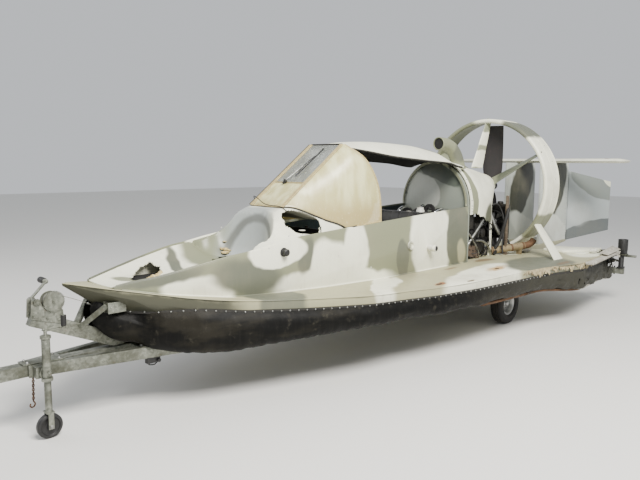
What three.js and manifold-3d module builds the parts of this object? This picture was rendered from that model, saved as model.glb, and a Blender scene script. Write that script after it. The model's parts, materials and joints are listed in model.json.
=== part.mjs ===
// Light hovercraft with a long pointed hull, a glazed cockpit, a ducted propeller and twin rudders,
// standing on the boat trailer that holds it. Millimetres, +X to the bow, +Y to port, +Z up.
// Places along X are counted from a line just ahead of the trailer's axle, and the whole group is moved to its middle at the end.
import * as THREE from 'three';
import { mergeVertices } from 'three/addons/utils/BufferGeometryUtils.js';
import Module from 'manifold-3d';

const wasm = await Module();
wasm.setup();

// Driving dimensions
const GAP = 0.3;                 // between solids that touch
const COUPLER_NOSE = 4950;       // front of everything
const RUDDER_CHORD = 680;
const DECK_LEVEL = 640;          // top of the flat part of the deck
const HULL_BOTTOM = 500;
const BAND = 75;                 // height of the hull's outer side
const PANEL_OUT = 418;           // outer face of a cabin side, from the middle plane
const PANEL_THICK = 25;
const CABIN_REAR = 190;
const RING_CENTRE_Z = 1386;
const RING_RADIUS = 769;
const RING_FRONT = -785;
const RING_REAR = -1115;
const PROP_X = -985;
const PROP_RADIUS = 700;
const FIN_Y = 234;
const FIN_FRONT = -1750;
const FIN_REAR = -2520;
const FIN_TOP = 1660;
const HINGE_X = -2536;
const RUDDER_PORT_SPLAY = 30;    // degrees, trailing edge turned outboard
const RUDDER_STARBOARD_SPLAY = 26;
const RAIL_TOP = 430;            // trailer rails
const RAIL_DEEP = 76;
const RAIL_Y = 575;
const WHEEL_X = -130;
const WHEEL_Y = 690;
const WHEEL_RADIUS = 207;       // a 4.80-8 tyre
const TYRE_WIDTH = 122;
const JACK_X = 4330;
const JACK_Y = 170;

// Table lookup with straight lines between rows: [x, value], x falling
function along(rows, x, column = 1) {
  for (let i = 1; i < rows.length; i += 1) {
    const a = rows[i - 1];
    const b = rows[i];
    if (x >= b[0] || i === rows.length - 1) {
      const t = (x - a[0]) / (b[0] - a[0]);
      return a[column] + (b[column] - a[column]) * t;
    }
  }
  return rows[0][column];
}

// Hull stations: x, half beam, deck z, side height, skirt line y, skirt line z, chine y, bottom z
const HULL = [
  [4150, 4, 889, 8, 3, 878, 2, 872],
  [3900, 190, 840, 45, 60, 700, 40, 690],
  [3800, 240, 820, 55, 120, 672, 80, 655],
  [3650, 320, 790, 65, 290, 670, 150, 620],
  [3460, 440, 757, 75, 436, 678, 230, 590],
  [3150, 560, 715, 75, 556, 636, 330, 550],
  [2800, 680, 690, 75, 676, 611, 420, 520],
  [2500, 780, 675, 75, 776, 596, 490, 505],
  [2200, 870, 661, 75, 866, 582, 550, 500],
  [1800, 930, 649, 75, 926, 570, 580, 500],
  [1500, 980, 640, 75, 976, 561, 600, 500],
  [1000, 1050, 640, 75, 1046, 561, 600, 500],
  [0, 1120, 640, 75, 1116, 561, 600, 500],
  [-700, 1250, 640, 75, 1246, 561, 600, 500],
  [-1900, 1100, 640, 75, 1096, 561, 600, 500],
];
const deckZ = (x) => along(HULL, x, 2);

// Cabin side: x, outer y, top z
const SIDE = [
  [3905, 192, 855],
  [3800, 226, 876],
  [3650, 290, 900],
  [3460, 340, 938],
  [3150, 398, 995],
  [3000, 412, 1012],
  [2800, 418, 1044],
  [2500, 418, 1080],
  [2200, 418, 1098],
  [1800, 418, 1122],
  [1500, 418, 1142],
  [1000, 418, 1168],
  [CABIN_REAR, 418, 1210],
];

// Finishes, named for what the pieces are made of
const FINISH = {
  hull: [0xd9dccf, 0.55, 0.0],
  camo: [0xa8ab93, 0.6, 0.0],
  glazing: [0xd9cb94, 0.2, 0.0],
  vinyl: [0x1b1c1c, 0.6, 0.0],
  black: [0x1a1a1a, 0.5, 0.1],
  steel: [0x9a9c98, 0.5, 0.7],
  rust: [0x8a6a45, 0.85, 0.2],
  rubber: [0x161616, 0.85, 0.0],
  wood: [0x8a7350, 0.8, 0.0],
  zinc: [0xb4b7b4, 0.45, 0.8],
};

const craft = new THREE.Group();
const made = {};

// Volume inside the faces, below nothing where they point inwards
function signedVolume(places, index) {
  let volume = 0;
  for (let t = 0; t < index.length; t += 3) {
    const [p, q, r] = [0, 1, 2].map((k) => new THREE.Vector3().fromArray(places, index[t + k] * 3));
    volume += p.dot(q.cross(r)) / 6;
  }
  return volume;
}

function toSolid(geometry) {
  const bare = geometry.clone();
  bare.deleteAttribute('normal');
  bare.deleteAttribute('uv');
  const merged = mergeVertices(bare, 0.001);
  const places = Float32Array.from(merged.attributes.position.array);
  const index = Uint32Array.from(merged.index.array);
  if (signedVolume(places, index) < 0) index.reverse();
  return new wasm.Manifold(new wasm.Mesh({ numProp: 3, vertProperties: places, triVerts: index }));
}

function toGeometry(solid) {
  const mesh = solid.getMesh();
  const geometry = new THREE.BufferGeometry();
  geometry.setAttribute('position', new THREE.BufferAttribute(mesh.vertProperties, 3));
  geometry.setIndex(new THREE.BufferAttribute(mesh.triVerts, 1));
  geometry.computeVertexNormals();
  return geometry;
}

function add(name, solid, finish) {
  const [color, roughness, metalness] = FINISH[finish];
  const material = new THREE.MeshStandardMaterial({ color, roughness, metalness, flatShading: true });
  const mesh = new THREE.Mesh(toGeometry(solid), material);
  mesh.name = name;
  craft.add(mesh);
  made[name] = solid;
}

const joined = (solids) => solids.reduce((sum, one) => sum.add(one));

// Closed solid through rings of points that all have the same count, with a flat cap at each end.
// The caps are triangulated in the plane of the two coordinates that are kept.
function loft(rings, keep = [1, 2]) {
  const count = rings[0].length;
  const triangles = [];
  for (let r = 0; r + 1 < rings.length; r += 1) {
    for (let i = 0; i < count; i += 1) {
      const a = r * count + i;
      const b = r * count + ((i + 1) % count);
      triangles.push([a, b, b + count], [a, b + count, a + count]);
    }
  }
  const cap = (ring, first, along_) => {
    const flat = ring.map((p) => new THREE.Vector2(p[keep[0]], p[keep[1]]));
    const turn = Math.sign(THREE.ShapeUtils.area(flat));
    for (const [a, b, c] of THREE.ShapeUtils.triangulateShape(flat, [])) {
      const own = Math.sign(THREE.ShapeUtils.area([flat[a], flat[b], flat[c]]));
      const same = own === turn;
      triangles.push(same === along_ ? [first + a, first + b, first + c] : [first + a, first + c, first + b]);
    }
  };
  cap(rings[0], 0, false);
  cap(rings[rings.length - 1], (rings.length - 1) * count, true);
  return fromFaces(rings.flat(), triangles.flat());
}

function fromFaces(points, index) {
  const geometry = new THREE.BufferGeometry();
  geometry.setAttribute('position', new THREE.Float32BufferAttribute(points.flat(), 3));
  geometry.setIndex(index);
  return toSolid(geometry);
}

// Plates: an outline in one plane, given thickness across it
const plateXZ = (outline, y0, y1) => loft([y0, y1].map((y) => outline.map(([x, z]) => [x, y, z])), [0, 2]);
const plateYZ = (outline, x0, x1) => loft([x0, x1].map((x) => outline.map(([y, z]) => [x, y, z])), [1, 2]);
const plateXY = (outline, z0, z1) => loft([z0, z1].map((z) => outline.map(([x, y]) => [x, y, z])), [0, 1]);

function box(x0, x1, y0, y1, z0, z1) {
  const geometry = new THREE.BoxGeometry(x1 - x0, y1 - y0, z1 - z0);
  geometry.translate((x0 + x1) / 2, (y0 + y1) / 2, (z0 + z1) / 2);
  return toSolid(geometry);
}

// Round bar between two points
function rod(from, to, radius, sides = 16, endRadius = radius) {
  const a = new THREE.Vector3(...from);
  const b = new THREE.Vector3(...to);
  const span = b.clone().sub(a);
  const geometry = new THREE.CylinderGeometry(endRadius, radius, span.length(), sides);
  geometry.applyQuaternion(new THREE.Quaternion().setFromUnitVectors(new THREE.Vector3(0, 1, 0), span.clone().normalize()));
  geometry.translate(...a.clone().add(b).multiplyScalar(0.5).toArray());
  return toSolid(geometry);
}

// Rectangular bar between two points: width across, depth in the other direction
function bar(from, to, width, depth, up = [0, 0, 1]) {
  const a = new THREE.Vector3(...from);
  const b = new THREE.Vector3(...to);
  const dir = b.clone().sub(a).normalize();
  const side = new THREE.Vector3().crossVectors(new THREE.Vector3(...up), dir).normalize();
  const top = new THREE.Vector3().crossVectors(dir, side);
  const corners = [[-1, -1], [1, -1], [1, 1], [-1, 1]];
  const ring = (p) => corners.map(([s, t]) => p.clone()
    .addScaledVector(side, s * width / 2)
    .addScaledVector(top, t * depth / 2).toArray());
  const keep = Math.abs(dir.x) > 0.6 ? [1, 2] : (Math.abs(dir.y) > 0.6 ? [0, 2] : [0, 1]);
  return loft([ring(a), ring(b)], keep);
}

// Plank between two points that grows wider, its width along X
function taperedPlank(from, to, startWidth, endWidth, thick) {
  const length = Math.hypot(to[1] - from[1], to[2] - from[2]);
  const across = [(to[2] - from[2]) / length * thick / 2, -(to[1] - from[1]) / length * thick / 2];
  const ring = ([x, y, z], width) => [[-1, -1], [1, -1], [1, 1], [-1, 1]]
    .map(([s, t]) => [x + s * width / 2, y + t * across[0], z + t * across[1]]);
  return loft([ring(from, startWidth), ring(to, endWidth)], [0, 1]);
}

// Level beam between two places in plan, with exact top and bottom heights
function beam(from, to, width, z0, z1) {
  const [dx, dy] = [to[0] - from[0], to[1] - from[1]];
  const half = width / 2 / Math.hypot(dx, dy);
  const corner = ([x, y], k) => [x - k * dy * half, y + k * dx * half];
  return plateXY([corner(from, 1), corner(from, -1), corner(to, -1), corner(to, 1)], z0, z1);
}

// Turned piece: profile of [radius, place] pairs about an axis through a point
function turned(profile, axis, centre, sides = 32) {
  const geometry = new THREE.LatheGeometry(profile.map(([r, h]) => new THREE.Vector2(r, h)), sides);
  const way = { x: [1, 0, 0], y: [0, 1, 0], z: [0, 0, 1] }[axis];
  geometry.applyQuaternion(new THREE.Quaternion().setFromUnitVectors(new THREE.Vector3(0, 1, 0), new THREE.Vector3(...way)));
  geometry.translate(...centre);
  return toSolid(geometry);
}

// Thin shell over a grid of points: the under side is the same grid moved by an offset
function sheet(grid, offset) {
  const rows = grid.length;
  const columns = grid[0].length;
  const move = typeof offset === 'function' ? offset : () => offset;
  const top = grid.flat();
  const under = grid.flatMap((row, i) => row.map((p, j) => p.map((v, k) => v + move(p, i, j)[k])));
  const size = rows * columns;
  const index = [];
  const quad = (a, b, c, d) => index.push(a, b, c, a, c, d);
  for (let i = 0; i + 1 < rows; i += 1) {
    for (let j = 0; j + 1 < columns; j += 1) {
      const a = i * columns + j;
      quad(a, a + 1, a + columns + 1, a + columns);
      quad(size + a, size + a + columns, size + a + columns + 1, size + a + 1);
    }
  }
  for (let j = 0; j + 1 < columns; j += 1) {
    const last = (rows - 1) * columns + j;
    quad(j + 1, j, size + j, size + j + 1);
    quad(last, last + 1, size + last + 1, size + last);
  }
  for (let i = 0; i + 1 < rows; i += 1) {
    const left = i * columns;
    const right = i * columns + columns - 1;
    quad(left, left + columns, size + left + columns, size + left);
    quad(right + columns, right, size + right, size + right + columns);
  }
  return fromFaces(top.concat(under), index);
}

// Tube along points, hollow where a wall is given
function tube(points, radius, wall = 0, sides = 16, steps = 24) {
  const path = new THREE.CatmullRomCurve3(points.map((p) => new THREE.Vector3(...p)));
  const shape = new THREE.Shape().absarc(0, 0, radius, 0, 2 * Math.PI);
  if (wall > 0) shape.holes.push(new THREE.Path().absarc(0, 0, radius - wall, 0, 2 * Math.PI, true));
  const geometry = new THREE.ExtrudeGeometry(shape, { steps, extrudePath: path, curveSegments: sides / 2 });
  return toSolid(geometry);
}

const mirrorY = (rows) => rows.map(([a, b, c]) => [a, -b, c]);
const SIDES = [['port', 1], ['starboard', -1]];

// Hull: decked, with a flat bottom, raised bow, swallow-tailed stern and a cockpit well
function hullRing(row, grow = 0) {
  const [x, beam, deck, side, lineY, lineZ, chineY, bottom] = row;
  const port = [
    [x, beam + grow, deck + grow],
    [x, beam + grow, deck - side],
    [x, lineY + grow, lineZ - grow],
    [x, chineY + grow, bottom - grow],
  ];
  return port.concat(mirrorY(port).reverse());
}
const NOTCH_FRONT = -1180;
const NOTCH_HALF = 262;
const notch = plateXY([
  [NOTCH_FRONT, -NOTCH_HALF], [NOTCH_FRONT, NOTCH_HALF], [-2000, 1245], [-2100, 1245], [-2100, -1245], [-2000, -1245],
], 400, 800);
const FAN_X = 2760;
const FAN_RADIUS = 220;
const ringSlot = rod([RING_REAR - 3, 0, RING_CENTRE_Z], [RING_FRONT + 3, 0, RING_CENTRE_Z], RING_RADIUS + 1, 96);
const hull = loft(HULL.map((row) => hullRing(row)))
  .subtract(notch)
  .subtract(box(250, 2140, -360, 360, 530, 800))
  .subtract(ringSlot);
add('hull', hull, 'hull');
const hullSpace = loft(HULL.map((row) => hullRing(row, GAP)));

// Tail beam that carries the fins behind the stern's notch
add('tail_beam', plateXZ([
  [NOTCH_FRONT - GAP, 565], [-2000, 565], [FIN_REAR, 618], [FIN_REAR, DECK_LEVEL], [NOTCH_FRONT - GAP, DECK_LEVEL],
], -260, 260), 'camo');

// Cabin sides, from the bow's edge to the rear bulkhead, with the two spar sockets in each
const stations = [...new Set([...HULL, ...SIDE].map((row) => row[0]))]
  .filter((x) => x <= 3905 && x >= CABIN_REAR)
  .sort((a, b) => b - a);
for (const [name, s] of SIDES) {
  const rings = stations.map((x) => {
    const out = along(SIDE, x, 1);
    const inner = out - PANEL_THICK;
    const low = deckZ(x) + GAP;
    const top = along(SIDE, x, 2);
    return [[x, s * inner, low], [x, s * out, low], [x, s * out, top], [x, s * inner, top]];
  });
  const face = PANEL_OUT * s;
  const socket = rod([1149, face - s * 6, 896], [1149, face + s * 16, 896], 42)
    .subtract(rod([1149, face + s * 4, 896], [1149, face + s * 20, 896], 28));
  const stub = rod([870, face - s * 6, 853], [870, face + s * 85, 853], 30)
    .subtract(rod([870, face + s * 20, 853], [870, face + s * 90, 853], 24));
  add(`side_panel_${name}`, joined([loft(rings), socket, stub]), 'camo');
}

// Foredeck: an open scoop between the cabin sides, deepening to a round bowl over the lift fan
const FORE = { floor: 885, bowlX: 2790, bowlFront: 360, bowlRear: 215, bowlSide: 380 };
// Rim and shoulder: x, crown height above the side's top
const CROWN = [[3905, 0], [3000, 4], [2930, 14], [2860, 40], [2780, 88], [2700, 140], [2620, 185], [2500, 212], [2200, 95]];
// Lower edge of the side window: x, y, z
const SILL = [[2500, 190, 1290], [2350, 275, 1240], [2200, 345, 1185], [2050, 385, 1140], [1900, 405, 1118]];
const DEPTH = [[3905, 6], [3650, 50], [3300, 105], [3000, 128], [2200, 128]];
const ease = (t) => { const c = Math.min(1, Math.max(0, t)); return c * c * (3 - 2 * c); };
function innerHalf(x) {
  return along(SIDE, x, 1) - PANEL_THICK - GAP;
}
function foredeckZ(x, y) {
  const half = innerHalf(x);
  const edge = along(SIDE, x, 2) - 3;
  const q = Math.min(1, Math.abs(y) / half);
  const flatHalf = x < 2500 ? along(SILL, x, 1) : 190;
  const shoulder = edge + along(CROWN, x, 1) * ease((half - Math.abs(y)) / (half - Math.min(flatHalf, half - 5)));
  if (x < 2500) return shoulder;
  const trough = edge - along(DEPTH, x, 1) * (1 - q * q);
  const reach = x > FORE.bowlX ? FORE.bowlFront : FORE.bowlRear;
  const away = Math.hypot((x - FORE.bowlX) / reach, y / FORE.bowlSide);
  const bowl = FORE.floor + 420 * away ** 5;
  const open = x > 3000 ? trough : FORE.floor + (trough - FORE.floor) * ease((x - 2760) / 240);
  const inside = x > 3000 ? trough : Math.max(open, Math.min(bowl, shoulder));
  return Math.min(shoulder, Math.max(inside, x > FORE.bowlX ? 0 : bowl));
}
const foreRows = [3904, 3800, 3650, 3460, 3300, 3150, 3000, 2930, 2860, 2790, 2730, 2680, 2640, 2605, 2575, 2540, 2500, 2420, 2350, 2200];
const foreColumns = [-1, -0.9, -0.8, -0.7, -0.6, -0.5, -0.35, -0.18, 0, 0.18, 0.35, 0.5, 0.6, 0.7, 0.8, 0.9, 1];
const FORE_SKIN = 12;
let foredeck = sheet(
  foreRows.map((x) => foreColumns.map((v) => [x, v * innerHalf(x), foredeckZ(x, v * innerHalf(x))])),
  [0, 0, -FORE_SKIN],
);
// Height of the strips that run aft under the side windows
function sillZ(x, y) {
  const outer = innerHalf(x);
  const inner = Math.min(along(SILL, x, 1), outer - 4);
  const edge = along(SIDE, x, 2) - 3;
  const sill = Math.max(along(SILL, x, 2), edge + 1);
  if (x > 2201) return foredeckZ(x, y);
  return edge + (sill - edge) * ease((y - outer) / (inner - outer));
}
for (const s of [1, -1]) {
  const rows = [2205, 2200, 2125, 2050, 1975, 1905];
  const strip = sheet(rows.map((x) => [0, 0.33, 0.67, 1].map((v) => {
    const outer = innerHalf(x);
    const inner = Math.min(along(SILL, x, 1), outer - 4);
    const y = outer + (inner - outer) * v;
    return [x, s * y, sillZ(Math.min(x, 2200), y)];
  })), [0, 0, -FORE_SKIN]);
  foredeck = foredeck.add(strip);
}
foredeck = foredeck
  .subtract(hullSpace)
  .subtract(rod([FAN_X, 0, 700], [FAN_X, 0, 960], FAN_RADIUS + 14, 40))
  .subtract(box(2300, 2600, 300, 375, 1120, 1270))
  .subtract(rod([3520, 170, 700], [3520, 170, 1000], 75, 7));
add('foredeck', foredeck, 'hull');

// Lift fan in its duct under the scoop
const ductBase = deckZ(FAN_X + FAN_RADIUS + 12) + GAP;
const duct = turned([
  [FAN_RADIUS + 4, ductBase], [FAN_RADIUS + 12, ductBase], [FAN_RADIUS + 12, 866], [FAN_RADIUS + 4, 866], [FAN_RADIUS + 4, ductBase],
], 'z', [FAN_X, 0, 0], 40);
add('fan_duct', joined([
  duct,
  box(FAN_X - 25, FAN_X + 25, -FAN_RADIUS - 6, FAN_RADIUS + 6, ductBase + 10, ductBase + 40),
  rod([FAN_X, 0, ductBase + 20], [FAN_X, 0, ductBase + 80], 18),
]), 'black');
const fanHub = ductBase + 80 + GAP;
const fanBlades = [];
for (let i = 0; i < 6; i += 1) {
  const turn = i * Math.PI / 3;
  const blade = bar([30, 0, fanHub + 28], [FAN_RADIUS - 6, 0, fanHub + 28], 90, 7, [0.5, 0, 0.86]);
  const tilted = bar([30, 0, fanHub + 28], [FAN_RADIUS - 6, 0, fanHub + 28], 7, 85, [0, Math.sin(1.1), Math.cos(1.1)]);
  fanBlades.push((blade.volume() > 0 ? tilted : blade).rotate([0, 0, turn * 180 / Math.PI]).translate([FAN_X, 0, 0]));
}
add('lift_fan', joined([rod([FAN_X, 0, fanHub], [FAN_X, 0, fanHub + 60], 48, 20), ...fanBlades]), 'black');

// Dash and front bulkhead of the cockpit
const dashLow = deckZ(2178) + GAP;
add('dash', plateYZ([
  [-392, dashLow], [392, dashLow], [392, 1060], [350, 1105], [-350, 1105], [-392, 1060],
], 2160, 2178), 'black');

// Steering yoke on its column
const COLUMN = { x: 2160, z: 985 };
add('steering_yoke', joined([
  rod([COLUMN.x - GAP, 0, COLUMN.z], [COLUMN.x - 230, 0, COLUMN.z], 14),
  rod([COLUMN.x - 215, 0, COLUMN.z], [COLUMN.x - 245, 0, COLUMN.z], 34),
  rod([COLUMN.x - 230, -135, COLUMN.z + 20], [COLUMN.x - 230, 135, COLUMN.z + 20], 12),
  rod([COLUMN.x - 230, -135, COLUMN.z + 8], [COLUMN.x - 230, -135, COLUMN.z + 105], 15),
  rod([COLUMN.x - 230, 135, COLUMN.z + 8], [COLUMN.x - 230, 135, COLUMN.z + 105], 15),
]), 'black');

// Seats: a box, its cushion and its back
add('seat_box', box(760, 1290, -330, 330, 530 + GAP, 740), 'black');
add('seat_cushion', box(765, 1285, -322, 322, 740 + GAP, 822), 'vinyl');
add('seat_back', plateXZ([[765, 822 + GAP], [860, 822 + GAP], [770, 1190], [690, 1190]], -322, 322), 'vinyl');
// Panel behind the seat that its back leans on
add('seat_support', plateXZ([[620, 530 + GAP], [759, 530 + GAP], [759, 822], [684, 1160], [660, 1160], [600, 822]], -330, 330), 'black');

// Rear bulkhead with its arched head
const ARCH_HALF = 396;
const ARCH_SPRING = 1215;
const ARCH_TOP = 1660;
const archPoint = (angle, half, spring, top) => [half * Math.cos(angle), spring + (top - spring) * Math.sin(angle)];
const archOutline = (half, spring, top, count) => Array.from({ length: count + 1 },
  (_, i) => archPoint(Math.PI * i / count, half, spring, top));
const BULKHEAD = [CABIN_REAR - 22 - GAP, CABIN_REAR - GAP];
add('bulkhead', plateYZ([
  [-PANEL_OUT, DECK_LEVEL + GAP], [PANEL_OUT, DECK_LEVEL + GAP], ...archOutline(PANEL_OUT, ARCH_SPRING, ARCH_TOP, 16),
], ...BULKHEAD), 'camo');

// Cowl over the engine: x, half width, spring z, top z, lower edge z
const COWL_FRONT = BULKHEAD[0] - GAP;
const COWL = [
  [COWL_FRONT, 430, 1215, 1682, 1125],
  [COWL_FRONT - 42, 430, 1215, 1682, 1125],
  [COWL_FRONT - 50, 406, 1215, 1658, 1125],
  [-120, 385, 1215, 1632, 1095],
  [-400, 330, 1225, 1588, 1010],
  [-455, 309, 1240, 1578, 1040],
  [-500, 290, 1265, 1569, 1215],
  [-600, 245, 1325, 1552, 1315],
  [-780, 150, 1365, 1522, 1355],
  [-900, 92, 1392, 1480, 1384],
];
const COWL_SKIN = 8;
function cowlRing([x, half, spring, top, low], skin = 0) {
  const arch = archOutline(half - skin, spring, top - skin, 14).map(([y, z]) => [x, y, z]);
  return [[x, half - skin, low], ...arch, [x, -(half - skin), low]];
}
function cowlSpace(grow) {
  return loft(COWL.map(([x, half, spring, top, low], i) => {
    const shift = i === 0 ? 5 : (i === COWL.length - 1 ? -5 : 0);
    return cowlRing([x + shift, half + grow, spring, top + grow, low - grow]);
  }));
}
const cowlShell = loft(COWL.map((row) => cowlRing(row))).subtract(loft(COWL.map(([x, half, spring, top, low], i) => {
  const shift = i === 0 ? 5 : (i === COWL.length - 1 ? -5 : 0);
  return cowlRing([x + shift, half, spring, top, low - 40], COWL_SKIN);
})));
const cowlFoot = (s) => plateXZ([
  [-452, DECK_LEVEL + GAP], [-388, DECK_LEVEL + GAP], [-396, 900], [-362, 1080], [-452, 1080], [-446, 900],
], s > 0 ? 316 : -324, s > 0 ? 324 : -316);
add('cowl', joined([cowlShell, cowlFoot(1), cowlFoot(-1)]), 'hull');

// Engine block standing open between the bulkhead and the cowl's feet
add('engine', joined([
  box(-290, 120, -130, 130, DECK_LEVEL + GAP, 760),
  box(-300, 130, -190, 190, 755, 960),
  box(-280, 110, -240, -90, 955, 1070),
  box(-280, 110, 90, 240, 955, 1070),
  rod([-90, 0, 955], [-90, 0, 1120], 110, 20),
  rod([-300, 0, 860], [-345, 0, 860], 95, 20),
]), 'black');

// Belt case from the engine up to the propeller shaft's housing
add('drive_case', joined([
  box(-470, -410, -85, 85, DECK_LEVEL + GAP, 1440),
  rod([-400, 0, RING_CENTRE_Z], [-925, 0, RING_CENTRE_Z], 42, 20),
]), 'black');

// Radiator behind the cowl's foot
add('radiator', joined([
  box(-700, -620, 130, 400, 810, 1200),
  box(-695, -665, 140, 165, DECK_LEVEL + GAP, 820),
  box(-695, -665, 335, 360, DECK_LEVEL + GAP, 820),
]), 'black');

// Air intake pipe over the cowl's front
const snorkel = tube([[430, 150, 1885], [330, 150, 1885], [200, 150, 1880], [110, 155, 1850], [60, 165, 1770], [45, 170, 1600]], 62, 7, 16, 12);
add('intake_pipe', snorkel.subtract(cowlSpace(GAP)).subtract(box(0, 300, 0, 400, 1300, 1620)), 'camo');

// Roof panel from the windshield's head to the bulkhead's arch: x, half width, edge z, crown z
const ROOF = [
  [1824 - GAP, 205, 1774, 1801],
  [1600, 265, 1745, 1824],
  [1300, 335, 1702, 1834],
  [900, 372, 1672, 1824],
  [500, 372, 1650, 1790],
  [CABIN_REAR, 330, 1612, ARCH_TOP + 12 + GAP],
  [BULKHEAD[0], 330, 1612, ARCH_TOP + 12 + GAP],
];
add('roof', sheet(ROOF.map(([x, half, edge, crown]) => [-1, -0.8, -0.55, -0.28, 0, 0.28, 0.55, 0.8, 1]
  .map((v) => [x, v * half, edge + (crown - edge) * (1 - v ** 2)])), [0, 0, -12]), 'camo');

// Windshield: a flat centre pane and two curved side panes standing on the sill
const BASE = [2498, 188, 1289 + GAP];
const HEAD = [1824, 184, 1788];
const PANE = 6;
const paneEnd = (row, half) => [-1, 0, 1].map((v) => [row[0], v * half, row[2]]);
add('windshield', sheet([paneEnd(BASE, BASE[1]), paneEnd(HEAD, HEAD[1])], [5, 0, PANE]), 'glazing');
// Rear edge of a side pane: share of the height, x, y, z
const PANE_REAR = [
  [0.2, 1572, 404, 1290], [0.4, 1592, 397, 1420], [0.6, 1632, 378, 1545], [0.8, 1704, 325, 1680], [1, 1820, 206, 1790],
];
// Places along the sill that the lower edge stands on
const PANE_SILL = [2498, 2350, 2200, 2125, 2050, 1902, 1566];
const PANE_SHARE = [0, 0.18, 0.35, 0.44, 0.53, 0.7, 1];
const bezier = (a, b, c, t) => a.map((v, k) => (1 - t) ** 2 * v + 2 * t * (1 - t) * b[k] + t * t * c[k]);
for (const [name, s] of SIDES) {
  const foot = PANE_SILL.map((x, i) => {
    if (i === 0) return [x, s * (BASE[1] + GAP), BASE[2]];
    const y = x > 1905 ? along(SILL, x, 1) + 2 : 405;
    const z = x > 1905 ? sillZ(x, y) : along(SIDE, x, 2);
    return [x, s * y, z + (i === 4 ? 5 : 2) * GAP];
  });
  const rows = PANE_REAR.map(([v, x, y, z]) => {
    const front = [BASE, HEAD].map((p) => [p[0], p[1] + GAP, p[2]]);
    const start = front[0].map((a, k) => a + (front[1][k] - a) * v);
    const middle = [start[0] * 0.45 + x * 0.55, 190 + (y - 190) * 1.12, start[2] * 0.42 + z * 0.58 + 6];
    return PANE_SHARE.map((t) => bezier(start, middle, [x, y, z], t)).map((q) => [q[0], s * q[1], q[2]]);
  });
  add(`side_window_${name}`, sheet([foot, ...rows], [4, 0, PANE]), 'glazing');
}

// Thrust ring with its three stays, and the two legs that hold it to the deck
const ringProfile = [
  [RING_RADIUS - 47, RING_FRONT - 26], [RING_RADIUS - 37, RING_FRONT - 7], [RING_RADIUS - 22, RING_FRONT],
  [RING_RADIUS - 7, RING_FRONT - 7], [RING_RADIUS, RING_FRONT - 26], [RING_RADIUS, RING_FRONT - 170],
  [RING_RADIUS - 6, RING_REAR], [RING_RADIUS - 15, RING_REAR], [RING_RADIUS - 24, RING_FRONT - 165],
  [RING_RADIUS - 36, RING_FRONT - 125], [RING_RADIUS - 47, RING_FRONT - 26],
];
const ring = turned(ringProfile, 'x', [0, 0, RING_CENTRE_Z], 48);
const ringSpace = rod([RING_REAR - GAP, 0, RING_CENTRE_Z], [RING_FRONT + GAP, 0, RING_CENTRE_Z], RING_RADIUS + GAP, 48);
// Stays: angle in degrees, inner x front and rear, outer x front and rear
const STAYS = [[90, -500, -690, -800, -900], [30, -755, -912, -800, -900], [150, -755, -912, -800, -900]];
const stays = STAYS.map(([angle, a, b, c, d]) => {
  const inner = angle === 90 ? 120 : 60;
  const outer = RING_RADIUS - 30;
  return plateXZ([[a, inner], [b, inner], [d, outer], [c, outer]], -6, 6)
    .rotate([angle - 90, 0, 0])
    .translate([0, 0, RING_CENTRE_Z]);
});
add('thrust_ring', joined([ring, joined(stays).subtract(cowlSpace(GAP))
  .subtract(rod([-940, 0, RING_CENTRE_Z], [-860, 0, RING_CENTRE_Z], 110, 20))]), 'hull');
for (const [name, s] of SIDES) {
  const plank = taperedPlank([-868, s * 640, 985], [-685, s * 1010, 600], 100, 150, 14);
  add(`ring_leg_${name}`, plank.subtract(ringSpace).subtract(box(-1200, 0, -1400, 1400, 500, DECK_LEVEL + GAP)), 'hull');
}

// Propeller: two broad square-tipped blades, one up and one down
function propBlade(turnDown) {
  // share of the radius, chord, pitch in degrees, thickness
  const rows = [[0.03, 60, 34, 34], [0.16, 190, 30, 26], [0.3, 222, 26, 20], [0.6, 228, 19, 14], [0.985, 222, 14, 9], [1, 216, 14, 8]];
  const rings = rows.map(([share, chord, pitch, thick]) => {
    const a = THREE.MathUtils.degToRad(pitch);
    const outline = [[-0.5, 0], [-0.2, 0.5], [0.25, 0.4], [0.5, 0], [0.25, -0.35], [-0.2, -0.35]];
    return outline.map(([c, t]) => {
      const across = c * chord;
      const up = t * thick;
      const x = PROP_X - across * Math.sin(a) + up * Math.cos(a);
      const y = across * Math.cos(a) + up * Math.sin(a);
      return [x, y * turnDown, RING_CENTRE_Z + turnDown * share * PROP_RADIUS];
    });
  });
  return loft(rings, [0, 1]);
}
const propHub = joined([
  rod([-925 - GAP, 0, RING_CENTRE_Z], [-1035, 0, RING_CENTRE_Z], 46, 20),
  rod([-1030, 0, RING_CENTRE_Z], [-1075, 0, RING_CENTRE_Z], 46, 20, 16),
]);
add('propeller', joined([propHub, propBlade(1), propBlade(-1)]), 'black');

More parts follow.
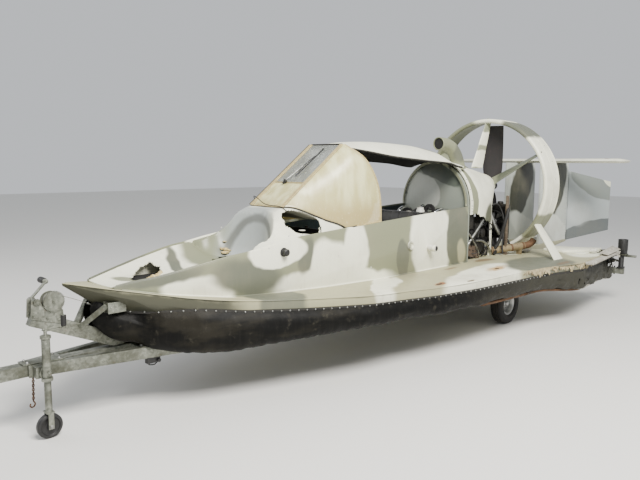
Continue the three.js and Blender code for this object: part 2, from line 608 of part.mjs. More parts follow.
// Fins on the tail beam, each with three hinge barrels, and the rudders that swing on them
const BARRELS = [760, 1090, 1420];
const BARREL = { radius: 11, half: 24 };
for (const [name, s] of SIDES) {
  const y = s * FIN_Y;
  const plate = plateXZ([[FIN_FRONT, DECK_LEVEL + GAP], [FIN_REAR, DECK_LEVEL + GAP], [FIN_REAR, FIN_TOP], [FIN_FRONT, FIN_TOP]], y - 15, y + 15);
  const barrels = BARRELS.map((z) => joined([
    rod([HINGE_X, y, z - BARREL.half], [HINGE_X, y, z + BARREL.half], BARREL.radius, 14),
    box(HINGE_X, FIN_REAR + 5, y - 4, y + 4, z - BARREL.half, z + BARREL.half),
  ]));
  add(`fin_${name}`, joined([plate, ...barrels]), 'camo');

  const blade = plateXZ([[-18, 632], [-RUDDER_CHORD, 752], [-RUDDER_CHORD, 1412], [-18, 1556]], -10, 10);
  const pin = rod([0, 0, 640], [0, 0, 1550], BARREL.radius, 14);
  const web = box(-24, 0, -4, 4, 640, 1550);
  const gaps = BARRELS.map((z) => box(-17, 20, -20, 20, z - BARREL.half - GAP, z + BARREL.half + GAP));
  const splay = s > 0 ? -RUDDER_PORT_SPLAY : RUDDER_STARBOARD_SPLAY;
  const rudder = joined([blade, joined([pin, web]).subtract(joined(gaps))])
    .rotate([0, 0, splay])
    .translate([HINGE_X, y, 0]);
  add(`rudder_${name}`, rudder, 'camo');
}

// Stabilizer across the fins' tops: share of the half span, front x, rear x, half thickness
const STAB_HALF = 1110;
const STAB = [[-1, -2080, -2280, 6], [-0.975, -2010, -2340, 20], [-0.93, -1975, -2375, 27], [0.93, -1975, -2375, 27], [0.975, -2010, -2340, 20], [1, -2080, -2280, 6]];
const STAB_Z = FIN_TOP + GAP + 27;
add('stabilizer', loft(STAB.map(([share, front, rear, half]) => {
  const y = share * STAB_HALF;
  const chord = rear - front;
  const outline = [[0, 0], [0.08, 0.75], [0.3, 1], [0.7, 0.6], [1, 0.08], [1, -0.08], [0.85, -1], [0.12, -1]];
  return outline.map(([c, t]) => [front + chord * c, y, STAB_Z + half * t]);
}), [0, 2]), 'hull');

// Trailer's winch arm and the struts on it that hold the bow: places of the ends, the foot and the pad
const ARM = { low: [3800, 462], high: [4350, 700], width: 64, deep: 88 };
const STRUT = { foot: [4060, 30, 600], head: [3930, 138, 735], wide: 34 };
const strutRoom = joined(SIDES.map(([, s]) => box(3812, 3945, s > 0 ? 102 : -178, s > 0 ? 178 : -102, 680, 770)));

// Skirt: the slack bag under the deck's edge. Each station: x, bulge out, lowest z, inner y, inner z
const SKIRT = [
  [3840, 45, 490, 50, 640],
  [3800, 50, 470, 75, 630],
  [3650, 55, 418, 240, 612],
  [3460, 60, 386, 285, 585],
  [3150, 60, 380, 350, 545],
  [2800, 60, 398, 430, 520],
  [2500, 58, 412, 510, 502],
  [2200, 52, 428, 580, 498],
  [1800, 45, 425, 640, 502],
  [1500, 40, 419, 700, 508],
  [1000, 30, 425, 800, 520],
  [500, 25, 425, 945, 540],
  [0, 22, 430, 985, 544],
  [-700, 22, 375, 1040, 540],
  [-1300, 22, 372, 1000, 540],
  [-1880, 22, 318, 950, 540],
];
const underside = (x, y) => {
  const chine = along(HULL, x, 6);
  const bottom = along(HULL, x, 7);
  const lineY = along(HULL, x, 4);
  const lineZ = along(HULL, x, 5);
  return bottom + (lineZ - bottom) * (y - chine) / (lineY - chine);
};
function skirtHalf(s) {
  const xs = [...new Set([...SKIRT.map((row) => row[0]), ...HULL.map((row) => row[0])])]
    .filter((x) => x <= 3840 && x >= -1880).sort((a, b) => b - a);
  const rings = xs.map((x) => {
    const bulge = along(SKIRT, x, 1);
    const low = along(SKIRT, x, 2);
    const innerY = along(SKIRT, x, 3);
    const lineY = along(HULL, x, 4);
    const lineZ = along(HULL, x, 5) - 1;
    const under = underside(x, innerY) - 1.5;
    const drop = lineZ - low;
    return [
      [x, s * (lineY - 2), lineZ - 0.6],
      [x, s * (lineY + bulge * 0.7), lineZ - drop * 0.2],
      [x, s * (lineY + bulge), lineZ - drop * 0.55],
      [x, s * (lineY + bulge * 0.75), lineZ - drop * 0.82],
      [x, s * (lineY + bulge * 0.1), low + drop * 0.02],
      [x, s * (lineY - Math.min(90, (lineY - innerY) * 0.4)), low],
      [x, s * (innerY + (lineY - innerY) * 0.25), low + drop * 0.12],
      [x, s * innerY, low + drop * 0.45],
      [x, s * innerY, under],
    ];
  });
  return loft(rings);
}
// The bag's front, round the bow: x, half width, top, lowest z. It leaves room for the trailer's winch arm.
const BOW = [[3990, 60, 725, 610], [3950, 95, 760, 560], [3900, 130, 740, 515], [3840, 165, 700, 480], [3650, 240, 660, 440]];
const bow = loft(BOW.map(([x, half, top, low]) => [
  [x, half * 0.6, top], [x, half, top - (top - low) * 0.4], [x, half * 0.8, low],
  [x, -half * 0.8, low], [x, -half, top - (top - low) * 0.4], [x, -half * 0.6, top],
]));
const armRoom = bar([ARM.low[0] - 200, 0, ARM.low[1] - 87], [ARM.high[0], 0, ARM.high[1]], ARM.width + 24, ARM.deep + 24);
add('skirt', joined([skirtHalf(1), skirtHalf(-1), bow]).subtract(hullSpace).subtract(armRoom).subtract(strutRoom), 'vinyl');

// Stern boards outside the deck's edge: x, inner and outer distance from the edge
for (const [name, s] of SIDES) {
  const rings = [[-720, 1248.5], [-1900, 1100]].map(([x, edge]) => {
    const a = s * (edge + 0.6);
    const b = s * (edge + 90);
    return [[x, a, DECK_LEVEL - 24], [x, b, DECK_LEVEL - 24], [x, b, DECK_LEVEL - 2], [x, a, DECK_LEVEL - 2]];
  });
  add(`stern_board_${name}`, loft(rings), 'hull');
}

// Exhaust silencer lying on the deck beside the ring
const EXHAUST = { radius: 40, from: [-480, 302, DECK_LEVEL + 41], to: [-800, 532, 735] };
add('exhaust', joined([
  rod(EXHAUST.from, EXHAUST.to, EXHAUST.radius, 18),
  plateYZ([[470, DECK_LEVEL + GAP], [530, DECK_LEVEL + GAP], [530, 722], [470, 700]], -760, -748),
]).subtract(box(-900, -400, 200, 600, 600, DECK_LEVEL + GAP)), 'rust');

// Trailer frame: side rails, cross members and the rear bar, each a little shallower than the next
const RAIL_LOW = RAIL_TOP - RAIL_DEEP;
const CROSS_TOP = RAIL_TOP - 4;
const TONGUE_TOP = RAIL_TOP - 2;
const CROSS = [1600, 300, -1000];
const FRAME_FRONT = 1840;
const FRAME_REAR = -1960;
const TONGUE_END = COUPLER_NOSE - 180;
const RAIL_HALF = 25;
const ladder = [box(FRAME_REAR - 25, FRAME_REAR + 25, -1215, 1215, RAIL_LOW + 4, CROSS_TOP)];
for (const [, s] of SIDES) {
  const y = s * RAIL_Y;
  ladder.push(box(FRAME_REAR - 20, FRAME_FRONT, y - RAIL_HALF, y + RAIL_HALF, RAIL_LOW, RAIL_TOP));
}
for (const x of CROSS) ladder.push(box(x - 25, x + 25, -RAIL_Y, RAIL_Y, RAIL_LOW + 4, CROSS_TOP));
add('trailer_frame', joined(ladder), 'zinc');

// Tongue: the two beams of the A-frame, which run on into the rails, and the centre tube
const APEX = [4390, 40];
const BEAM_REAR = [1800, RAIL_Y];
const tongue = [
  box(3700, TONGUE_END, -38, 38, RAIL_LOW + 2, TONGUE_TOP),
  box(3660, 3725, -150, 150, RAIL_LOW + 4, CROSS_TOP),
];
for (const [, s] of SIDES) {
  tongue.push(beam([APEX[0], s * APEX[1]], [BEAM_REAR[0], s * BEAM_REAR[1]], 2 * RAIL_HALF, RAIL_LOW + 1, RAIL_TOP - 1));
}
add('trailer_tongue', joined(tongue).subtract(box(1500, FRAME_FRONT + GAP, -700, 700, 300, 500)), 'zinc');

// Coupler on the centre tube
const BALL_X = COUPLER_NOSE - 60;
add('coupler', joined([
  box(TONGUE_END + GAP, BALL_X, -42, 42, RAIL_LOW - 4, RAIL_TOP + 6),
  rod([BALL_X, 0, RAIL_LOW - 4], [BALL_X, 0, RAIL_TOP - 8], 60, 24),
  box(TONGUE_END + 20, BALL_X + 20, -12, 12, RAIL_TOP, RAIL_TOP + 26),
]).subtract(rod([BALL_X, 0, RAIL_LOW - 10], [BALL_X, 0, RAIL_LOW + 38], 27, 20)), 'zinc');

// Bunks that carry the hull
for (const [name, s] of SIDES) {
  const y0 = s > 0 ? 405 : -495;
  const parts = [box(-1850, 2180, y0, y0 + 90, 460, HULL_BOTTOM - GAP)];
  for (const x of CROSS) parts.push(box(x - 24, x + 24, y0 + 20, y0 + 70, CROSS_TOP + GAP, 462));
  add(`bunk_${name}`, joined(parts), 'wood');
}

// Axle on two leaf springs
const STUB = 18;
add('axle', joined([
  box(WHEEL_X - 25, WHEEL_X + 25, -WHEEL_Y + 72, WHEEL_Y - 72, WHEEL_RADIUS - 25, WHEEL_RADIUS + 25),
  rod([WHEEL_X, -WHEEL_Y, WHEEL_RADIUS], [WHEEL_X, WHEEL_Y, WHEEL_RADIUS], STUB, 24),
]), 'steel');
for (const [name, s] of SIDES) {
  const low = WHEEL_RADIUS + 25 + GAP;
  const leaf = (half, drop, y0, y1, thick) => {
    const xs = [-1, -0.6, -0.2, 0.2, 0.6, 1];
    const rise = (x) => (RAIL_LOW - 34 - low) * (Math.max(0, Math.abs(x) - 66) / 264) ** 2;
    const under = xs.map((v) => [WHEEL_X + v * half, low + drop + rise(v * half)]);
    const over = under.map(([x, z]) => [x, z + thick]).reverse();
    return plateXZ([...under, ...over], y0, y1);
  };
  const y0 = s * RAIL_Y - 22;
  const parts = [leaf(330, 0, y0, y0 + 44, 14), leaf(210, 12, y0, y0 + 44, 12)];
  for (const e of [-1, 1]) {
    const x = WHEEL_X + e * 322;
    parts.push(box(x - 14, x + 14, y0, y0 + 44, RAIL_LOW - 36, RAIL_LOW - GAP));
  }
  add(`spring_${name}`, joined(parts), 'rust');
}

// Wheels
const RIM = 108;
const WHEEL_SIDES = 36;
for (const [name, s] of SIDES) {
  const half = TYRE_WIDTH / 2;
  const tyre = turned([
    [RIM + 2, -half * 0.66], [RIM + 16, -half * 0.9], [WHEEL_RADIUS - 45, -half], [WHEEL_RADIUS - 15, -half * 0.92],
    [WHEEL_RADIUS - 4, -half * 0.72], [WHEEL_RADIUS, -half * 0.3], [WHEEL_RADIUS, half * 0.3],
    [WHEEL_RADIUS - 4, half * 0.72], [WHEEL_RADIUS - 15, half * 0.92], [WHEEL_RADIUS - 45, half],
    [RIM + 16, half * 0.9], [RIM + 2, half * 0.66], [RIM + 2, -half * 0.66],
  ], 'y', [WHEEL_X, s * WHEEL_Y, WHEEL_RADIUS], WHEEL_SIDES);
  add(`tyre_${name}`, tyre, 'rubber');
  const face = s * 8;
  const rimSolid = turned([
    [0, -10], [34, -10], [44, -8], [80, 4], [RIM - 13, -half * 0.6], [RIM, -half * 0.7], [RIM + 1.6, -half * 0.62],
    [RIM + 1.6, half * 0.62], [RIM, half * 0.7], [RIM - 13, half * 0.6], [86, 14], [46, 6], [34, 30], [0, 30],
  ], 'y', [0, 0, 0], WHEEL_SIDES).rotate([s > 0 ? 0 : 180, 0, 0]).translate([WHEEL_X, s * WHEEL_Y - face, WHEEL_RADIUS]);
  const boreEnd = s * (WHEEL_Y + GAP);
  const bore = rod([WHEEL_X, -boreEnd, WHEEL_RADIUS], [WHEEL_X, boreEnd, WHEEL_RADIUS], STUB + GAP, 24);
  add(`rim_${name}`, rimSolid.subtract(bore), 'zinc');
}

// Winch arm with the two padded struts that hold the bow, the winch on it and its crank
const arm = joined([
  bar([ARM.low[0], 0, ARM.low[1]], [ARM.high[0], 0, ARM.high[1]], ARM.width, ARM.deep),
  box(3765, 3850, -30, 30, TONGUE_TOP + GAP, 480),
]).subtract(box(3600, 3950, -60, 60, 300, TONGUE_TOP + GAP));
const stopStruts = SIDES.map(([, s]) => joined([
  bar([STRUT.foot[0], s * STRUT.foot[1], STRUT.foot[2]], [STRUT.head[0], s * STRUT.head[1], STRUT.head[2]], STRUT.wide, STRUT.wide),
  box(3822, 3935, s > 0 ? 112 : -168, s > 0 ? 168 : -112, 690, 752),
]));
add('winch_arm', joined([arm, ...stopStruts]).subtract(hullSpace), 'zinc');
const armSpace = bar(
  [ARM.low[0], 0, ARM.low[1]], [ARM.high[0] + 110, 0, ARM.high[1] + 47.6],
  ARM.width + 2 * GAP, ARM.deep + 2 * GAP,
);
const WINCH = { x: 4222, z: 790, crankX: 4322, crankZ: 800 };
const winchSide = (y0, y1) => plateXZ([
  [4160, 640], [4360, 700], [4352, 812], [4306, 816], [4286, 764], [4250, 778], [4196, 778], [4166, 730],
], y0, y1);
add('winch', joined([
  winchSide(-ARM.width / 2 - GAP - 6, -ARM.width / 2 - GAP),
  winchSide(ARM.width / 2 + GAP, ARM.width / 2 + GAP + 6),
  rod([WINCH.x, -36, WINCH.z], [WINCH.x, 48, WINCH.z], 30, 18),
  rod([WINCH.crankX, -48, WINCH.crankZ], [WINCH.crankX, 36, WINCH.crankZ], 14, 12),
  rod([WINCH.x, 40, WINCH.z], [WINCH.x, 50, WINCH.z], 62, 28),
]).subtract(armSpace), 'steel');
const GRIP = [WINCH.crankX - 105, WINCH.crankZ + 105];
add('winch_crank', joined([
  rod([WINCH.crankX, -48 - GAP, WINCH.crankZ], [WINCH.crankX, -74, WINCH.crankZ], 15, 14),
  bar([WINCH.crankX, -66, WINCH.crankZ], [GRIP[0], -66, GRIP[1]], 10, 24, [0, 1, 0]),
  rod([GRIP[0] + 6, -62, GRIP[1] - 6], [GRIP[0] + 6, -160, GRIP[1] - 6], 15, 14),
]), 'steel');

// Jack beside the tongue: a swivelling tube, the leg that slides in it and the wheel at its foot
const JACK_PIVOT_Z = 392;
const PIVOT_FACE = 132;
const apexOut = APEX[1] + (APEX[0] - JACK_X) * (BEAM_REAR[1] - APEX[1]) / (APEX[0] - BEAM_REAR[0]) + RAIL_HALF;
add('jack_bracket', joined([
  box(JACK_X - 45, JACK_X + 45, apexOut - 20, PIVOT_FACE - 8, RAIL_LOW + 4, RAIL_TOP - 4),
  rod([JACK_X, PIVOT_FACE - 12, JACK_PIVOT_Z], [JACK_X, PIVOT_FACE, JACK_PIVOT_Z], 33, 20),
]).subtract(beam(APEX, BEAM_REAR, 2 * (RAIL_HALF + GAP), 300, 500)), 'zinc');
const JACK = { low: 352, top: 627, radius: 25, wall: 4, wheel: 75, halfWheel: 22, stroke: 180 };
const crankUp = JACK.top + 26;
add('jack_tube', joined([
  turned([
    [JACK.radius - JACK.wall, JACK.low], [JACK.radius, JACK.low], [JACK.radius, JACK.top], [0, JACK.top],
    [0, JACK.top - 8], [JACK.radius - JACK.wall, JACK.top - 8], [JACK.radius - JACK.wall, JACK.low],
  ], 'z', [JACK_X, JACK_Y, 0], 24),
  rod([JACK_X, PIVOT_FACE + GAP, JACK_PIVOT_Z], [JACK_X, JACK_Y - JACK.radius + 2, JACK_PIVOT_Z], 33, 20),
  rod([JACK_X, JACK_Y, JACK.top - 4], [JACK_X, JACK_Y, crankUp + 4], 10, 14),
  bar([JACK_X + 10, JACK_Y, crankUp], [JACK_X - 118, JACK_Y, crankUp], 20, 8),
  rod([JACK_X - 110, JACK_Y, crankUp], [JACK_X - 110, JACK_Y, crankUp + 78], 12, 14),
]), 'zinc');
const forkPlate = JACK.low - JACK.stroke - 14;
const legRadius = JACK.radius - JACK.wall - 0.5;
add('jack_leg', joined([
  rod([JACK_X, JACK_Y, forkPlate], [JACK_X, JACK_Y, JACK.top - 12 - JACK.stroke], legRadius, 24),
  box(JACK_X - 24, JACK_X + 24, JACK_Y - 34, JACK_Y + 34, forkPlate, forkPlate + 7),
  box(JACK_X - 16, JACK_X + 16, JACK_Y - 34, JACK_Y - 29, JACK.wheel - 14, forkPlate + 4),
  box(JACK_X - 16, JACK_X + 16, JACK_Y + 29, JACK_Y + 34, JACK.wheel - 14, forkPlate + 4),
  rod([JACK_X, JACK_Y - 32, JACK.wheel], [JACK_X, JACK_Y + 32, JACK.wheel], 7, 14),
]), 'zinc');
add('jack_wheel', turned([
  [7.6, -26], [20, -26], [22, -12], [JACK.wheel - 22, -12], [JACK.wheel - 18, -JACK.halfWheel], [JACK.wheel, -JACK.halfWheel * 0.7],
  [JACK.wheel, JACK.halfWheel * 0.7], [JACK.wheel - 18, JACK.halfWheel], [JACK.wheel - 22, 12], [22, 12],
  [20, 26], [7.6, 26], [7.6, -26],
], 'y', [JACK_X, JACK_Y, JACK.wheel], 28), 'rubber');

// Guide posts at the trailer's rear corners
for (const [name, s] of SIDES) {
  add(`guide_post_${name}`, joined([
    rod([FRAME_REAR, s * 1180, CROSS_TOP + GAP], [FRAME_REAR, s * 1180, 765], 30, 18),
    box(FRAME_REAR - 40, FRAME_REAR + 40, s * 1180 - 34, s * 1180 + 34, CROSS_TOP + GAP, RAIL_TOP + 14),
  ]), 'black');
}

// The origin is under the middle of everything
const REAR_MOST = HINGE_X - RUDDER_CHORD * Math.cos(THREE.MathUtils.degToRad(RUDDER_STARBOARD_SPLAY)) - 10 * Math.sin(THREE.MathUtils.degToRad(RUDDER_STARBOARD_SPLAY));
craft.position.x = -(COUPLER_NOSE + REAR_MOST) / 2;

export default craft;
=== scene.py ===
import json
import math
import random

import bmesh
import bpy
from mathutils import Matrix, Vector, noise

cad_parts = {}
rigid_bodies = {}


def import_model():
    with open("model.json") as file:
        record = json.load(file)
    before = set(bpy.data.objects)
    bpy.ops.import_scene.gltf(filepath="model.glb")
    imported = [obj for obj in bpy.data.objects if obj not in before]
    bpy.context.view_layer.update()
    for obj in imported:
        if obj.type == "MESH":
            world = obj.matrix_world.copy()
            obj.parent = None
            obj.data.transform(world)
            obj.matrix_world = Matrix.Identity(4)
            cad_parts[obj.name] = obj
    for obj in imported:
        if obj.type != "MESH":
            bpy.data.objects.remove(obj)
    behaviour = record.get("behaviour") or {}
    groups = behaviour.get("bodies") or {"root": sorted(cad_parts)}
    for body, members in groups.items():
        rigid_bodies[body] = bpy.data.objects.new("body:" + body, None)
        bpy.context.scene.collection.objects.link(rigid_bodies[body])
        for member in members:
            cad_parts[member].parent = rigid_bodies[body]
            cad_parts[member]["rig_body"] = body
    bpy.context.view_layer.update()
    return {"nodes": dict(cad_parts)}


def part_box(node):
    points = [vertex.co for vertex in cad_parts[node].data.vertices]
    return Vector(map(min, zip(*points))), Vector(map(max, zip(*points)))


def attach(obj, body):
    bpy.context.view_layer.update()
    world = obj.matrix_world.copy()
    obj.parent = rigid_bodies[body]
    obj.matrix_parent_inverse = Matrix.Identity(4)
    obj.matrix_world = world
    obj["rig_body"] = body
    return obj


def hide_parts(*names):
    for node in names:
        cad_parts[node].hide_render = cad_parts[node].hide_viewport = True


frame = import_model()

NODES = frame["nodes"]
MAIN = "craft_and_trailer"
random.seed(7)

# The tables are in millimetres with x counted from the trailer's axle line, as in the part's source.
# The row's origin is under the middle of everything, so x moves by this much.
COUPLER_NOSE = 4950
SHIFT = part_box("coupler")[1].x - COUPLER_NOSE / 1000


def place(x, y, z):
    """A place in millimetres from the axle line as a vector in the row frame."""
    return Vector((x / 1000 + SHIFT, y / 1000, z / 1000))


# Camera: at the photograph's place, solved from the trailer's and the craft's edges
YAW, PITCH, ROLL = -2.3547, 0.1221, 0.0059
EYE = (5687.4, 3801.9, 1630.3)
FOCAL_PIXELS, IMAGE_WIDTH, SENSOR = 620.3, 640, 36


def photograph_camera():
    forward = Vector((math.cos(YAW) * math.cos(PITCH), math.sin(YAW) * math.cos(PITCH), -math.sin(PITCH)))
    level = Vector((math.sin(YAW), -math.cos(YAW), 0))
    upward = level.cross(forward)
    right = level * math.cos(ROLL) + upward * math.sin(ROLL)
    up = upward * math.cos(ROLL) - level * math.sin(ROLL)
    data = bpy.data.cameras.new("camera")
    data.sensor_fit = "HORIZONTAL"
    data.sensor_width = SENSOR
    data.lens = FOCAL_PIXELS / IMAGE_WIDTH * SENSOR
    camera = bpy.data.objects.new("camera", data)
    bpy.context.scene.collection.objects.link(camera)
    turn = Matrix((right, up, -forward)).transposed().to_4x4()
    camera.matrix_world = Matrix.Translation(place(*EYE)) @ turn
    bpy.context.scene.camera = camera


photograph_camera()


# Colours and node helpers

def linear(hex_text):
    """An sRGB colour such as a8ab93 as linear red, green, blue and alpha."""
    out = []
    for i in (0, 2, 4):
        c = int(hex_text[i:i + 2], 16) / 255
        out.append(c / 12.92 if c <= 0.04045 else ((c + 0.055) / 1.055) ** 2.4)
    return (*out, 1.0)


class Finish:
    """One node material, with short calls for the nodes it is made of."""

    def __init__(self, name, roughness=0.5, metallic=0.0, **sockets):
        self.material = bpy.data.materials.new(name)
        self.material.use_nodes = True
        self.tree = self.material.node_tree
        self.shader = self.tree.nodes["Principled BSDF"]
        self.shader.inputs["Roughness"].default_value = roughness
        self.shader.inputs["Metallic"].default_value = metallic
        for key, value in sockets.items():
            self.shader.inputs[key.replace("_", " ")].default_value = value
        self.coords = self.add("ShaderNodeTexCoord").outputs["Object"]

    def add(self, kind, inputs=None, **settings):
        """One node with its settings, and its sockets set or linked."""
        node = self.tree.nodes.new(kind)
        for key, value in settings.items():
            setattr(node, key, value)
        for key, value in (inputs or {}).items():
            by_identifier = str(key).startswith("#")
            socket = (next(s for s in node.inputs if s.identifier == key[1:]) if by_identifier
                      else node.inputs[key])
            if isinstance(value, bpy.types.NodeSocket):
                self.tree.links.new(value, socket)
            elif isinstance(value, str) and socket.type == "RGBA":
                socket.default_value = linear(value)
            else:
                socket.default_value = value
        return node

    def math(self, operation, a, b=0.0, c=0.0):
        return self.add("ShaderNodeMath", {0: a, 1: b, 2: c}, operation=operation).outputs[0]

    def times(self, a, b):
        return self.math("MULTIPLY", a, b)

    def plus(self, a, b):
        return self.math("ADD", a, b)

    def grain(self, millimetres, detail=3.0, rough=0.55, vector=None, distortion=0.0):
        """Soft noise whose lumps are about that many millimetres across, from 0 to 1."""
        return self.add("ShaderNodeTexNoise", {
            "Vector": vector or self.coords, "Scale": 1000 / millimetres, "Detail": detail,
            "Roughness": rough, "Distortion": distortion}).outputs["Fac"]

    def step(self, value, low, high):
        """0 at low, 1 at high, soft between."""
        return self.add("ShaderNodeMapRange", {"Value": value, "From Min": low, "From Max": high},
                        interpolation_type="SMOOTHSTEP").outputs[0]

    def mix(self, share, a, b):
        """Colour a where share is 0 and colour b where it is 1."""
        node = self.add("ShaderNodeMix", {"#Factor_Float": share, "#A_Color": a, "#B_Color": b},
            data_type="RGBA")
        return next(s for s in node.outputs if s.identifier == "Result_Color")

    def split(self, vector=None):
        return self.add("ShaderNodeSeparateXYZ", {0: vector or self.coords}).outputs

    def squeezed(self, x=1.0, y=1.0, z=1.0, turn=(0, 0, 0)):
        """The object's coordinates, drawn out along an axis whose factor is small."""
        return self.add("ShaderNodeMapping", {"Vector": self.coords, "Scale": (x, y, z),
            "Rotation": turn}).outputs[0]

    def colour(self, value):
        socket = self.shader.inputs["Base Color"]
        if isinstance(value, str):
            socket.default_value = linear(value)
        else:
            self.tree.links.new(value, socket)

    def rough(self, middle, swing, millimetres=45):
        """Roughness that wanders about its middle value."""
        value = self.math("MULTIPLY_ADD", self.grain(millimetres, 5), swing * 2, middle - swing)
        self.tree.links.new(value, self.shader.inputs["Roughness"])

    def bump(self, height, millimetres, strength=1.0):
        node = self.add("ShaderNodeBump", {"Height": height, "Distance": millimetres / 1000,
            "Strength": strength})
        self.tree.links.new(node.outputs[0], self.shader.inputs["Normal"])


# Weathered gelcoat with sprayed camouflage. Patches are ellipses with wandering soft edges:
# colour, centre along, centre across, half length, half width, turn in degrees, softness.
CREAM, GREEN, GREY, DARK, TAN = "ebebd6", "7d8067", "5f6253", "3d3f36", "a3a080"


def gelcoat(name, base, patches=(), plane="xz", middle=0.42, dirt=0.35, wander=95, spots=0.5, extra=None,
        marks=()):
    """Polyester gelcoat, brushed and sprayed over, gone chalky outdoors: soft sheen, dirt film, chips."""
    f = Finish(name, middle)
    x, y, z = f.split()
    axes = {"x": x, "y": y, "z": z}
    flat = f.add("ShaderNodeCombineXYZ", {0: axes[plane[0]], 1: axes[plane[1]]}).outputs[0]
    stray = f.add("ShaderNodeTexNoise", {"Vector": f.coords, "Scale": 4.5, "Detail": 2.0}).outputs["Color"]
    stray = f.add("ShaderNodeVectorMath", {0: stray, 1: (0.5, 0.5, 0.5)}, operation="SUBTRACT").outputs[0]
    stray = f.add("ShaderNodeVectorMath", {0: stray, "Scale": wander / 1000}, operation="SCALE").outputs[0]
    flat = f.add("ShaderNodeVectorMath", {0: flat, 1: stray}, operation="ADD").outputs[0]
    out = linear(base)
    shift = SHIFT if plane[0] == "x" else 0.0

    def away_from(u, v, half_u, half_v, angle):
        """0 at the middle of an ellipse and 1 on its edge."""
        local = f.add("ShaderNodeMapping", {
            "Vector": flat, "Location": (u / 1000 + shift, v / 1000, 0),
            "Rotation": (0, 0, math.radians(angle)), "Scale": (half_u / 1000, half_v / 1000, 1)},
            vector_type="TEXTURE").outputs[0]
        local = f.add("ShaderNodeVectorMath", {0: local, 1: (1, 1, 0)}, operation="MULTIPLY").outputs[0]
        return f.add("ShaderNodeVectorMath", {0: local}, operation="LENGTH").outputs["Value"]
    for paint, *ellipse, soft in patches:
        out = f.mix(f.step(away_from(*ellipse), 1 + soft, 1 - soft), out, paint)
    film = f.step(f.grain(380, 5, 0.62), 0.42, 0.72)
    out = f.mix(f.times(film, dirt), out, "8f8873")
    runs = f.step(f.grain(30, 3, 0.6, f.squeezed(1, 1, 0.12)), 0.5, 0.78)
    out = f.mix(f.times(runs, dirt * 0.55), out, "7d7864")
    chips = f.step(f.grain(11, 6, 0.75), 0.66, 0.7)
    out = f.mix(f.times(chips, spots), out, "5f5440")
    for paint, *ellipse, soft in marks:
        torn = f.plus(away_from(*ellipse), f.times(f.grain(26, 5, 0.7), 1.6))
        out = f.mix(f.step(torn, 1.75 + soft, 1.75 - soft), out, paint)
    if extra:
        out = extra(f, out)
    f.colour(out)
    f.rough(middle, 0.1)
    height = f.plus(f.times(f.grain(240, 2), 1.0), f.times(f.grain(5, 3), 0.06))
    f.bump(height, 4.0, 0.4)
    return f.material


SIDE_PATCHES = [
    (CREAM, 3378, 792, 252, 102, 9, 0.14), (CREAM, 2106, 696, 717, 100, 4, 0.16),
    (CREAM, 1892, 925, 240, 151, 85, 0.12), (CREAM, 2196, 858, 259, 178, 12, 0.16),
    (CREAM, 824, 919, 399, 325, 71, 0.08), (GREY, 2999, 838, 294, 123, 9, 0.25),
    (GREY, 2463, 926, 148, 70, -76, 0.2), (CREAM, 2730, 990, 275, 112, 1, 0.08),
    (GREY, 1256, 793, 187, 89, 86, 0.1), (GREY, 348, 921, 375, 221, 82, 0.07),
    (TAN, 304, 756, 127, 74, 82, 0.2), (GREY, 3637, 895, 285, 47, -7, 0.3),
]
sides_paint = gelcoat("gelcoat camouflage sides", GREEN, SIDE_PATCHES, "xz", 0.4, 0.22)
DECK_PATCHES = [
    (CREAM, 3302, 176, 300, 159, -47, 0.1), (GREY, 2846, 467, 274, 230, 80, 0.1),
    (TAN, 2361, 682, 366, 251, 40, 0.12), (CREAM, 1811, 654, 521, 99, 39, 0.12),
    (CREAM, 1811, 768, 505, 65, 38, 0.12), (TAN, 1591, 856, 574, 196, 28, 0.14),
    (CREAM, 774, 971, 843, 258, 16, 0.1), (GREY, -274, 980, 527, 321, 10, 0.14),
    (CREAM, 2900, -480, 420, 160, -35, 0.12), (GREY, 2100, -760, 430, 230, 25, 0.12),
    (CREAM, 1150, -930, 560, 230, -12, 0.12), (DARK, 150, -960, 400, 230, 20, 0.16),
    (CREAM, -900, -900, 420, 220, -20, 0.14), (CREAM, -1450, 960, 420, 200, 12, 0.16),
    (CREAM, -900, 200, 420, 260, 12, 0.2), (DARK, 3690, 180, 130, 60, -42, 0.25),
]
RUST_MARKS = [
    ("8a5a35", 1368, 884, 92, 30, 12, 0.25), ("2a1f18", 1390, 884, 52, 16, 12, 0.1),
    ("b99a6c", 307, 815, 190, 54, 10, 0.5), ("3a2a20", 320, 818, 40, 18, 8, 0.1),
    ("6b5a44", 1060, 1010, 60, 18, 12, 0.2), ("6b5a44", -500, 1120, 160, 40, 10, 0.4),
    ("7a6a50", 640, 520, 120, 20, 0, 0.4), ("7a6a50", -60, 470, 160, 60, 0, 0.4),
]


def flare_paint_and_painted_shade(f, out):
    """Painted shade on faces that look downwards all along the edge, deepened to near black under the bow's edge,
    where it is partly the flare's dark green paint.
    """
    facing = f.split(f.add("ShaderNodeNewGeometry").outputs["Normal"])[2]
    x = f.split()[0]
    bow = f.step(x, SHIFT + 3.1, SHIFT + 3.3)
    downward_shade = f.step(f.plus(facing, f.times(f.grain(70, 3), 0.3)), 0.5, 0.2)
    # painted shade: faces that look downwards are darkened a little everywhere
    out = f.mix(f.times(downward_shade, 0.3), out, "6b6a55")
    # painted shade at the bow, mixed with the flare's dark green paint
    return f.mix(f.times(f.times(downward_shade, bow), 0.88), out, "26281d")


deck_paint = gelcoat("gelcoat camouflage deck", TAN, DECK_PATCHES, "xy", 0.45, 0.38, spots=0.7,
    marks=RUST_MARKS, extra=flare_paint_and_painted_shade)
plain_paint = gelcoat("gelcoat off-white", CREAM, [], "xz", 0.38, 0.2)
grey_paint = gelcoat("gelcoat grey-green", GREEN, [(CREAM, 0, 900, 500, 300, 10, 0.2)], "xz", 0.4, 0.25)


